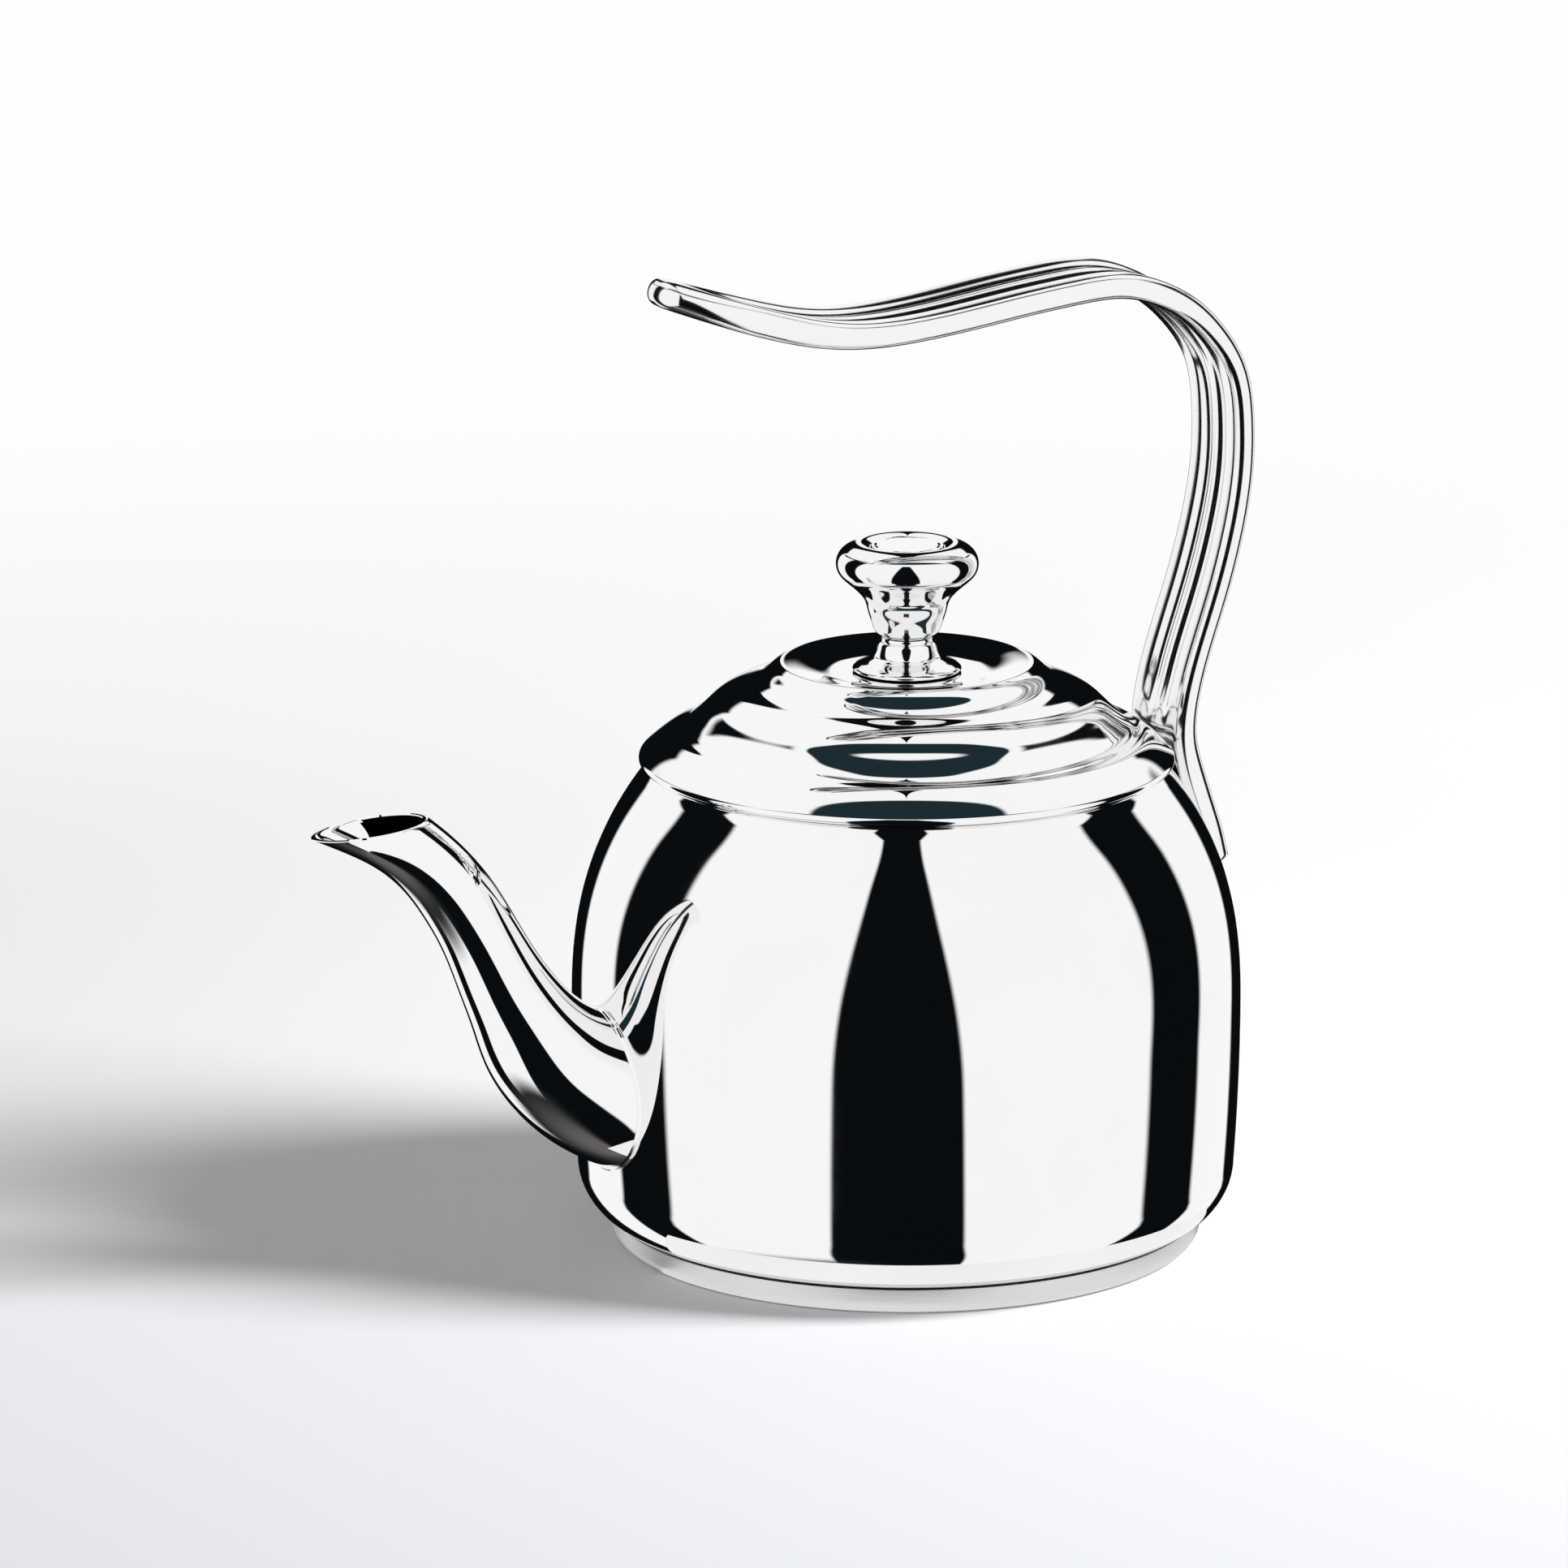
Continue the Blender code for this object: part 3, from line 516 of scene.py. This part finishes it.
def first_length(low, high, beyond):
    """Length between two at which a test turns true, by halving."""
    for _ in range(HALVINGS):
        middle = (low + high) / 2
        low, high = (low, middle) if beyond(middle) else (middle, high)
    return high


def arc(centre, radius, start, end, steps):
    """Points of an arc in the profile plane, with angles in degrees from the outward direction."""
    turns = (math.radians(start + (end - start) * k / steps) for k in range(steps + 1))
    return [(centre[0] + radius * math.cos(a), centre[1] + radius * math.sin(a)) for a in turns]


def full_turn(steps):
    """Equal angles round a circle."""
    return [2 * math.pi * k / steps for k in range(steps)]


def inner_side(outside, wall):
    """A profile's inner side, a wall's thickness to the right of its run."""
    inside = []
    for i, (r, z) in enumerate(outside):
        before = Vector(outside[max(i - 1, 0)])
        after = Vector(outside[min(i + 1, len(outside) - 1)])
        along = (after - before).normalized()
        inside.append((max(r + along.y * wall, 0.0) if r > MERGE else 0.0, z - along.x * wall))
    return inside


def walled(outside, wall):
    """A profile that runs along its outer side and back along its inner side."""
    return outside + inner_side(outside, wall)[::-1]


def lathed(profile, steps, closed):
    """A profile of (radius, height) spun round the kettle's axis."""
    shape = bmesh.new()
    line = [shape.verts.new((r, 0.0, z)) for r, z in profile]
    pairs = list(zip(line, line[1:]))
    if closed:
        pairs.append((line[-1], line[0]))
    edges = [shape.edges.new(pair) for pair in pairs]
    bmesh.ops.spin(
        shape, geom=line + edges, cent=(0, 0, 0), axis=(0, 0, 1), angle=2 * math.pi, steps=steps,
        use_merge=True,
    )
    bmesh.ops.remove_doubles(shape, verts=shape.verts, dist=MERGE)
    bmesh.ops.recalc_face_normals(shape, faces=shape.faces)
    return shape


def edges_round(shape, loop):
    """The edges of a closed loop of vertices."""
    return [shape.edges.get(pair) for pair in zip(loop, loop[1:] + loop[:1])]


def lofted(rings):
    """A skin through rings of points, each pulled out of the one before it, and its loops of vertices."""
    shape = bmesh.new()
    loop = bmesh.ops.create_circle(shape, segments=len(rings[0]), radius=BODY_RADIUS)["verts"]
    loops = []
    for ring in rings:
        if loops:
            grown = set(bmesh.ops.extrude_edge_only(shape, edges=edges_round(shape, loop))["geom"])
            loop = [next(e.other_vert(v) for e in v.link_edges if e.other_vert(v) in grown) for v in loop]
        for vert, spot in zip(loop, ring):
            vert.co = spot
        loops.append(loop)
    return shape, loops


def joined_ends(shape, loops):
    """Closes a loft on itself, from its last ring to its first."""
    bmesh.ops.bridge_loops(shape, edges=edges_round(shape, loops[-1]) + edges_round(shape, loops[0]))
    bmesh.ops.recalc_face_normals(shape, faces=shape.faces)


def closed_ends(shape, loops):
    """Draws the first and last ring of a loft together to a point."""
    for loop in (loops[0], loops[-1]):
        middle = sum((v.co for v in loop), Vector()) / len(loop)
        bmesh.ops.pointmerge(shape, verts=loop, merge_co=middle)
    bmesh.ops.recalc_face_normals(shape, faces=shape.faces)


def put_in_scene(name, shape, finish):
    """A bmesh as a named object with its material."""
    mesh = bpy.data.meshes.new(name)
    shape.to_mesh(mesh)
    shape.free()
    mesh.materials.append(finish)
    made = bpy.data.objects.new(name, mesh)
    bpy.context.scene.collection.objects.link(made)
    return made


def piece(name, shape, finish, body, nodes, sharp=SHARP_SHEET):
    """A finished bmesh as a named piece that rides on a body and stands for CAD nodes."""
    made = put_in_scene(name, shape, finish)
    made.data.shade_smooth()
    made.data.set_sharp_from_angle(angle=math.radians(sharp))
    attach(made, body)
    if nodes:
        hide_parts(*nodes)
    return made


def carve(target, cutter):
    """Takes a closed bmesh out of a piece for good."""
    mesh = bpy.data.meshes.new("cutter")
    cutter.to_mesh(mesh)
    cutter.free()
    blade = bpy.data.objects.new("cutter", mesh)
    bpy.context.scene.collection.objects.link(blade)
    boolean = target.modifiers.new("cut", "BOOLEAN")
    boolean.operation = "DIFFERENCE"
    boolean.solver = "EXACT"
    boolean.object = blade
    graph = bpy.context.evaluated_depsgraph_get()
    result = bpy.data.meshes.new_from_object(target.evaluated_get(graph))
    target.modifiers.clear()
    target.data = result
    bpy.data.objects.remove(blade)


def body_radius(height):
    """Outside radius of the body over its rounded bottom corner."""
    if height >= BELLY_HEIGHT:
        share = (height - BELLY_HEIGHT) / (MOUTH_HEIGHT - BELLY_HEIGHT)
        return BODY_RADIUS - (BODY_RADIUS - NECK_RADIUS) * share ** SHOULDER_POWER
    share = (BELLY_HEIGHT - height) / (BELLY_HEIGHT - BODY_FLOOR - BOTTOM_CORNER)
    return BODY_RADIUS - (BODY_RADIUS - BODY_FOOT_RADIUS) * share ** 2


def body_normal(spot):
    """Direction square to the body's wall at a point on it."""
    step = 0.1 * MM
    slope = (body_radius(spot.z + step) - body_radius(spot.z - step)) / (2 * step)
    out = Vector((spot.x, spot.y, 0.0)).normalized()
    return (out - Vector((0.0, 0.0, slope))).normalized()


def spout_line():
    """Centre line of the spout with its outside radius: x, height, radius."""
    placed = [
        (-BODY_RADIUS - out * MM, SPOUT_ROOT_HEIGHT + up * MM, radius * MM)
        for out, up, radius in SPOUT_STATIONS
    ]
    return fair_line(placed, per_span=8)


def pour_hole():
    """Drill for the hole behind the spout, along the start of the spout's line."""
    line = spout_line()
    root, ahead = (Vector((line[i][0], 0.0, line[i][1])) for i in (0, POUR_HOLE_AIM))
    aim = ahead - root
    middle = Matrix.Translation(root + aim.normalized() * POUR_HOLE_RADIUS)
    drill = bmesh.new()
    bmesh.ops.create_cone(
        drill, cap_ends=True, segments=TUBE_SIDES, radius1=POUR_HOLE_RADIUS, radius2=POUR_HOLE_RADIUS,
        depth=3 * POUR_HOLE_RADIUS, matrix=middle @ aim.to_track_quat("Z", "Y").to_matrix().to_4x4(),
    )
    return drill


def make_body(steel):
    """Drawn barrel with a rounded bottom corner, a turned-in mouth and a hole behind the spout."""
    bend_height = MOUTH_HEIGHT - MOUTH_BEND
    neck = body_radius(bend_height)
    corner_top = BODY_FLOOR + BOTTOM_CORNER
    corner_middle = (BODY_FOOT_RADIUS - BOTTOM_CORNER, corner_top)
    lip = [(MOUTH_RADIUS, MOUTH_HEIGHT - MOUTH_LIP)]
    bend = arc((MOUTH_RADIUS + MOUTH_BEND, bend_height), MOUTH_BEND, 180, 90, steps=6)
    shoulder = arc((neck - MOUTH_BEND, bend_height), MOUTH_BEND, 90, 40, steps=6)
    heights = np.linspace(bend_height, corner_top, BODY_KNOTS)
    side = fair_line([(body_radius(z), z) for z in heights], per_span=5)
    corner = arc(corner_middle, BOTTOM_CORNER, 0, -90, steps=16)[1:]
    outside = lip + bend + shoulder + side + corner + [(0.0, BODY_FLOOR)]
    shape = lathed(walled(outside, BODY_WALL), TURN_STEPS, closed=True)
    carve(piece("polished_body", shape, steel, "kettle", ["body_shell"]), pour_hole())


def make_base(satin):
    """Satin cap with a rounded lower edge."""
    corner = arc((BASE_RADIUS - BASE_CORNER, BASE_CORNER), BASE_CORNER, 0, -90, steps=10)
    outside = [(BASE_RADIUS, BASE_TOP)] + corner + [(0.0, 0.0)]
    shape = lathed(walled(outside, BASE_WALL), TURN_STEPS, closed=True)
    piece("satin_base", shape, satin, "kettle", ["base_cap"])


def make_spout(steel):
    """Tapered S-tube from the belly to its slanted mouth. Gives the ring where it meets the belly."""
    line = np.array(spout_line())
    runs = lengths_along(line)
    mouth_up = Vector((math.sin(-SPOUT_MOUTH_TILT), 0.0, math.cos(SPOUT_MOUTH_TILT)))

    def station(run):
        """Place across and up, and radius, at a length along the centre line."""
        return np.array([np.interp(run, runs, line[:, k]) for k in range(3)])

    def spot(run, turn, thinner):
        """Point on the tube at a length along its line and an angle round it."""
        x, z, radius = station(run)
        step = station(run + MM) - station(run - MM)
        along = Vector((step[0], 0.0, step[1])).normalized()
        up = Vector((-along.z, 0.0, along.x))
        reach = radius - thinner
        return Vector((x, reach * math.sin(turn), z)) + up * reach * math.cos(turn)

    def outside_body(p):
        return math.hypot(p.x, p.y) > body_radius(p.z) + SEAT_GAP

    def past_mouth(p):
        return (p - SPOUT_MOUTH).dot(mouth_up) > 0

    half, full = 0.5 * runs[-1], runs[-1]
    turns = full_turn(TUBE_SIDES)
    sides = []
    for thinner in (0.0, SPOUT_WALL):
        roots = [first_length(0.0, half, lambda run: outside_body(spot(run, a, thinner))) for a in turns]
        ends = [first_length(half, full, lambda run: past_mouth(spot(run, a, thinner))) for a in turns]
        sides.append([
            [spot(low + (high - low) * share, a, thinner) for low, high, a in zip(roots, ends, turns)]
            for share in np.linspace(0.0, 1.0, TUBE_RINGS)
        ])
    outer, inner = sides
    lip = [(p + q) / 2 + mouth_up * SPOUT_LIP for p, q in zip(outer[-1], inner[-1])]
    shape, loops = lofted(outer + [lip] + inner[::-1])
    joined_ends(shape, loops)
    piece("polished_spout", shape, steel, "kettle", ["spout"], sharp=SHARP_LOFT)
    return outer[0]


def make_weld(steel, root):
    """Thin ground bead where the spout meets the belly."""
    rings = []
    for i, spot in enumerate(root):
        along = (root[(i + 1) % len(root)] - root[i - 1]).normalized()
        out = body_normal(spot)
        across = along.cross(out).normalized()
        centre = spot - out * WELD_SINK
        rings.append([
            centre + (across * math.cos(a) + out * math.sin(a)) * WELD_RADIUS for a in full_turn(WELD_SIDES)
        ])
    shape, loops = lofted(rings)
    joined_ends(shape, loops)
    piece("spout_weld", shape, steel, "kettle", [])


def handle_section(half_width, half_thickness, relief, tip):
    """Outline across the handle: a rounded rail on each edge, and a shallow channel between on both faces."""
    rounding = min(RAIL_ROUND, ROUND_SHARE * half_width)
    rounding += tip * (TIP_EDGE * half_width - rounding)
    centre = half_width - rounding
    inside = min(half_width - min(RAIL_WIDTH, RAIL_SHARE * half_width), CHANNEL_SHARE * centre)
    wall = min(WALL_WIDTH, WALL_SHARE * inside)
    depth = relief * CHANNEL_DEPTH
    panel = half_thickness - depth + relief * CHANNEL_CROWN
    edge = [
        (centre + y, half_thickness / rounding * n) for y, n in arc((0.0, 0.0), rounding, 0, 90, steps=10)
    ]
    channel = [(inside - across * wall, half_thickness - down * depth) for across, down in CHANNEL_WALL]
    flat = [(PANEL_SHARE * (inside - wall), panel), (0.0, panel)]
    quarter = edge + fair_line(edge[-1:] + channel + flat, per_span=4)[1:]
    upper = quarter + [(-y, n) for y, n in quarter[-2::-1]]
    return upper + [(-y, -n) for y, n in upper[1:-1]]


def tip_share(left):
    """Width of the handle's round end, with some length left to go, as a share of its full width."""
    return math.sqrt(1 - (1 - left / TIP_ROUND) ** 2)


def handle_rings():
    """Sections from the handle's free end to its tongue, each with its centre and its outward direction."""
    line = np.array(fair_line(scaled(HANDLE_STATIONS), per_span=8))
    runs = lengths_along(line)
    last = len(line) - 1
    rings = []
    for i, (x, z, half_width, half_thickness) in enumerate(line):
        step = line[min(i + 1, last)] - line[max(i - 1, 0)]
        along = Vector((step[0], 0.0, step[1])).normalized()
        relief = max(0.0, min(1.0, runs[i] / CHANNEL_RUN_IN, (z - MOUTH_HEIGHT) / CHANNEL_FADE))
        relief = relief * relief * (3 - 2 * relief)
        tip = max(0.0, 1 - runs[i] / TIP_FADE) ** 2
        rings.append((Vector((x, 0.0, z)), along, handle_section(half_width, half_thickness, relief, tip)))
    centre, along, _ = rings[0]
    _, _, half_width, half_thickness = line[0]
    for left in TIP_LEFT:
        width = half_width * tip_share(left * HANDLE_TIP) / tip_share(HANDLE_TIP)
        thickness = half_thickness * (1 - (1 - left) ** 2) ** TIP_BLUNT
        end = centre - along * HANDLE_TIP * (1 - left)
        rings.insert(0, (end, along, handle_section(width, thickness, relief=0.0, tip=1.0)))
    centre, along, section = rings[-1]
    for turn in TONGUE_TURNS:
        shrink = math.cos(math.radians(turn))
        end = centre + along * TONGUE_END * math.sin(math.radians(turn))
        rings.append((end, along, [(y * shrink, n * shrink ** TONGUE_BLUNT) for y, n in section]))
    return rings


def make_handle(steel):
    """Cast strip that bends over the lid, with a tongue kept clear of the body's wall."""
    placed = []
    for centre, along, section in handle_rings():
        out = Vector((-along.z, 0.0, along.x))
        ring = []
        for y, n in section:
            spot = centre + out * n + Vector((0.0, y, 0.0))
            if spot.z < MOUTH_HEIGHT:
                clear = body_radius(spot.z) + SEAT_GAP
                spot.x = max(spot.x, math.sqrt(max(clear ** 2 - y ** 2, 0.0)))
            ring.append(spot)
        placed.append(ring)
    shape, loops = lofted(placed)
    closed_ends(shape, loops)
    piece("cast_handle", shape, steel, "kettle", ["handle"], sharp=SHARP_LOFT)


def make_lid(steel):
    """Stepped lid with a rolled rim, and the ring under it that centres it in the mouth."""
    steps = scaled(LID_STEPS)
    flat = steps[0][1]
    edge = arc((LID_RIM - LID_EDGE, LID_EDGE), LID_EDGE, 45, -90, steps=9)
    crown = fair_line([(LID_FLAT_FROM, flat)] + steps + [edge[0]], per_span=10)
    line = [(SCREW_HOLE, flat)] + crown + edge[1:] + [(LID_RIM - LID_EDGE - LID_HEM, 0.0)]
    outside = [(r, LID_SEAT + z) for r, z in line]
    shape = lathed(walled(outside, LID_WALL), TURN_STEPS, closed=True)
    piece("polished_lid", shape, steel, "lid", ["lid_shell"])
    under = np.array(inner_side(outside, LID_WALL + SEAT_GAP)[:len(crown)])
    radii = [SKIRT_RADIUS - SKIRT_FLANGE * k / FLANGE_STEPS for k in range(FLANGE_STEPS, -1, -1)]
    flange = [(r, float(np.interp(r, under[:, 0], under[:, 1]))) for r in radii]
    skirt = flange + [(SKIRT_RADIUS, LID_SEAT - SKIRT_DEPTH)]
    shape = lathed(walled(skirt, SKIRT_WALL), TURN_STEPS, closed=True)
    piece("lid_guide_ring", shape, steel, "lid", ["lid_skirt"])


def make_knob(steel):
    """Flared foot, mushroom head with a dished top, and the plain disc in the dish."""
    flare = fair_line(scaled(FOOT_FLARE), per_span=8)
    round_edge = fair_line(scaled(FOOT_EDGE), per_span=4)[1:]
    line = [(SCREW_HOLE, KNOB_FOOT_HEIGHT)] + flare + round_edge + [(SCREW_HOLE, 0.0)]
    shape = lathed([(r, KNOB_FLOOR + z) for r, z in line], KNOB_STEPS, closed=True)
    piece("knob_flared_foot", shape, steel, "lid", ["knob_foot"], sharp=SHARP_KNOB)
    waist = KNOB_FLOOR + KNOB_FOOT_HEIGHT + SEAT_GAP
    dish = KNOB_HEAD_HEIGHT - DISH_DEPTH
    thread = [(SCREW_HOLE, 0.0), (SCREW_HOLE, THREAD_DEPTH), (0.0, THREAD_DEPTH)]
    line = [(0.0, dish), (DISH_RADIUS, dish)] + fair_line(scaled(HEAD_SIDE), per_span=10) + thread
    shape = lathed([(r, waist + z) for r, z in line], KNOB_STEPS, closed=False)
    piece("knob_mushroom_head", shape, steel, "lid", ["knob_head"], sharp=SHARP_KNOB)
    low = waist + dish + SEAT_GAP
    high = low + DISC_THICKNESS
    line = [(r, high - down) for r, down in scaled(DISC_FACE)] + [(DISC_RADIUS, low), (0.0, low)]
    shape = lathed(line, KNOB_STEPS, closed=False)
    piece("knob_top_disc", shape, steel, "lid", ["knob_disc"])


def set_finish(names, finish):
    """Gives CAD nodes that stay in the scene a finish of their own."""
    for name in names:
        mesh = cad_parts[name].data
        mesh.materials.clear()
        mesh.materials.append(finish)


def make_floor():
    """The floor, which the metal doesn't mirror."""
    shape = bmesh.new()
    bmesh.ops.create_grid(shape, x_segments=FLOOR_CELLS, y_segments=FLOOR_CELLS, size=FLOOR_SIZE)
    floor = put_in_scene("floor", shape, finish_of("pale_floor", floor_finish))
    floor.visible_glossy = False


def make_card():
    """A white card round the base, which only the metal mirrors."""
    shape = bmesh.new()
    start = math.radians(CARD_FROM)
    ends = [shape.verts.new((r * math.cos(start), r * math.sin(start), CARD_HEIGHT)) for r in CARD_RADII]
    bmesh.ops.spin(
        shape, geom=ends + [shape.edges.new(ends)], cent=(0, 0, 0), axis=(0, 0, 1),
        angle=math.radians(CARD_TO - CARD_FROM), steps=CARD_STEPS,
    )
    card = put_in_scene("base_card", shape, finish_of("white_card", card_finish))
    for rays in ("camera", "diffuse", "transmission", "shadow", "volume_scatter"):
        setattr(card, "visible_" + rays, False)


def tent_colour(graph):
    """What the metal mirrors: a white tent with black panels, a slate one overhead, and a ground darkened on
    the spout's side by a painted shadow.
    """
    x, y, z = graph.axes(graph.node("ShaderNodeTexCoord", out="Generated"))
    towards = x * math.sin(CAMERA_AZIMUTH) - y * math.cos(CAMERA_AZIMUTH)
    right = x * math.cos(CAMERA_AZIMUTH) + y * math.sin(CAMERA_AZIMUTH)
    turn = graph.math("ARCTAN2", right, towards) * math.degrees(1.0)
    height = graph.math("ARCSINE", z) * math.degrees(1.0)
    around = abs(turn)

    front_half = FRONT_HALF_WIDTH - (height - FRONT_WIDTH_AT) * FRONT_TAPER
    front = (abs(turn - FRONT_MIDDLE) - front_half).falls(0.0, FRONT_SOFT) * height.falls(*FRONT_TOP)

    side_top = (height + (around - SIDE_NEAR[0]) * SIDE_SLANT).falls(*SIDE_TOP)
    side = around.rises(*SIDE_NEAR) * around.falls(*SIDE_FAR) * side_top

    off_strip = abs(height + (around - STRIP_HEIGHT_AT) * STRIP_SLANT - STRIP_HEIGHT)
    strip = off_strip.falls(*STRIP_HALF_WIDTH) * around.rises(*STRIP_NEAR) * around.falls(*STRIP_FAR)

    ridge = BACK_TOP + (around - BACK_PEAK_FROM).most(0.0) * BACK_PEAK_SLANT
    gap = around.rises(*BACK_GAP_NEAR) * height.rises(*BACK_GAP_BOTTOM) * height.falls(*BACK_GAP_TOP)
    back = around.rises(*BACK_NEAR) * (height - ridge).falls(0.0, BACK_SOFT) * (1 - gap)

    off_middle = right / CANOPY_HALF_WIDTH
    reach = CANOPY_REACH * (1 - off_middle * off_middle)
    above = towards.rises(*CANOPY_EDGE) * (towards - reach).falls(*CANOPY_EDGE) * z.rises(*CANOPY_LOW)

    # Painted shadow: below the level on the spout's side, the mirrored ground is darkened as the kettle's
    # shadow on the floor
    ground = height.falls(*GROUND_TOP) * turn.falls(*GROUND_RIGHT) * turn.rises(*GROUND_BACK)
    shadow_tone = graph.blend(height.rises(*GROUND_SHADE), SHADOW_STEEP_GREY, SHADOW_DARKEST)

    tent = graph.blend(front.most(side).most(back).most(strip), TENT_WHITE, PANEL_BLACK)
    return graph.blend(ground, graph.blend(above, tent, CANOPY_SLATE), shadow_tone)


def make_studio():
    """The tent for the metal to mirror, a plain backdrop, and plain soft light for everything else."""
    world = bpy.data.worlds.new("studio")
    bpy.context.scene.world = world
    graph = Graph(world)
    shader = graph.node("ShaderNodeBackground", inputs={"Color": (*TENT_WHITE, 1.0), "Strength": TENT_LIGHT})
    mirrored = graph.node("ShaderNodeBackground", inputs={"Color": tent_colour(graph)})
    seen = graph.node("ShaderNodeBackground", inputs={"Color": (*BACKDROP, 1.0)})
    for kind, other in (("Is Glossy Ray", mirrored), ("Is Camera Ray", seen)):
        shader = graph.node("ShaderNodeMixShader", inputs={0: graph.ray(kind), 1: shader, 2: other})
    graph.node("ShaderNodeOutputWorld", inputs={"Surface": shader})


def make_key_light():
    """A round soft lamp at the right, which the metal doesn't mirror."""
    data = bpy.data.lights.new("key_light", "AREA")
    data.shape = "DISK"
    data.size = KEY_SIZE
    data.energy = KEY_POWER
    lamp = bpy.data.objects.new("key_light", data)
    bpy.context.scene.collection.objects.link(lamp)
    lamp.location = KEY_PLACE
    lamp.rotation_euler = (CAMERA_TARGET - lamp.location).to_track_quat("-Z", "Y").to_euler()
    lamp.visible_glossy = False


def make_camera():
    """The photograph's view."""
    data = bpy.data.cameras.new("photo_view")
    data.lens = CAMERA_LENS
    data.sensor_width = CAMERA_SENSOR
    data.clip_end = CAMERA_CLIP
    camera = bpy.data.objects.new("photo_view", data)
    bpy.context.scene.collection.objects.link(camera)
    level = math.cos(CAMERA_ELEVATION)
    away = Vector((
        math.sin(CAMERA_AZIMUTH) * level, -math.cos(CAMERA_AZIMUTH) * level, math.sin(CAMERA_ELEVATION),
    ))
    camera.location = CAMERA_TARGET + away * CAMERA_DISTANCE
    camera.rotation_euler = away.to_track_quat("Z", "Y").to_euler()
    bpy.context.scene.camera = camera


bpy.context.scene.view_settings.view_transform = "Standard"
make_camera()
sheet = finish_of("mirror_sheet", mirror_finish(*SHEET_STEEL))
cast = finish_of("polished_casting", mirror_finish(*KNOB_STEEL))
grip = finish_of("polished_grip", mirror_finish(*GRIP_STEEL))
satin = finish_of("round_brushed_steel", brushed_finish(*SATIN_STEEL))
plain = finish_of("plain_aluminium", brushed_finish(*CORE_ALUMINIUM))
seal = finish_of("seal_rubber", seal_finish)
make_body(sheet)
make_base(satin)
make_weld(sheet, make_spout(sheet))
make_handle(grip)
make_lid(sheet)
make_knob(cast)
set_finish(["handle_screw_upper", "handle_screw_lower", "knob_screw", "knob_washer"], satin)
set_finish(["handle_seal_upper", "handle_seal_lower", "knob_seal"], seal)
set_finish(["base_core"], plain)
make_floor()
make_card()
make_studio()
make_key_light()
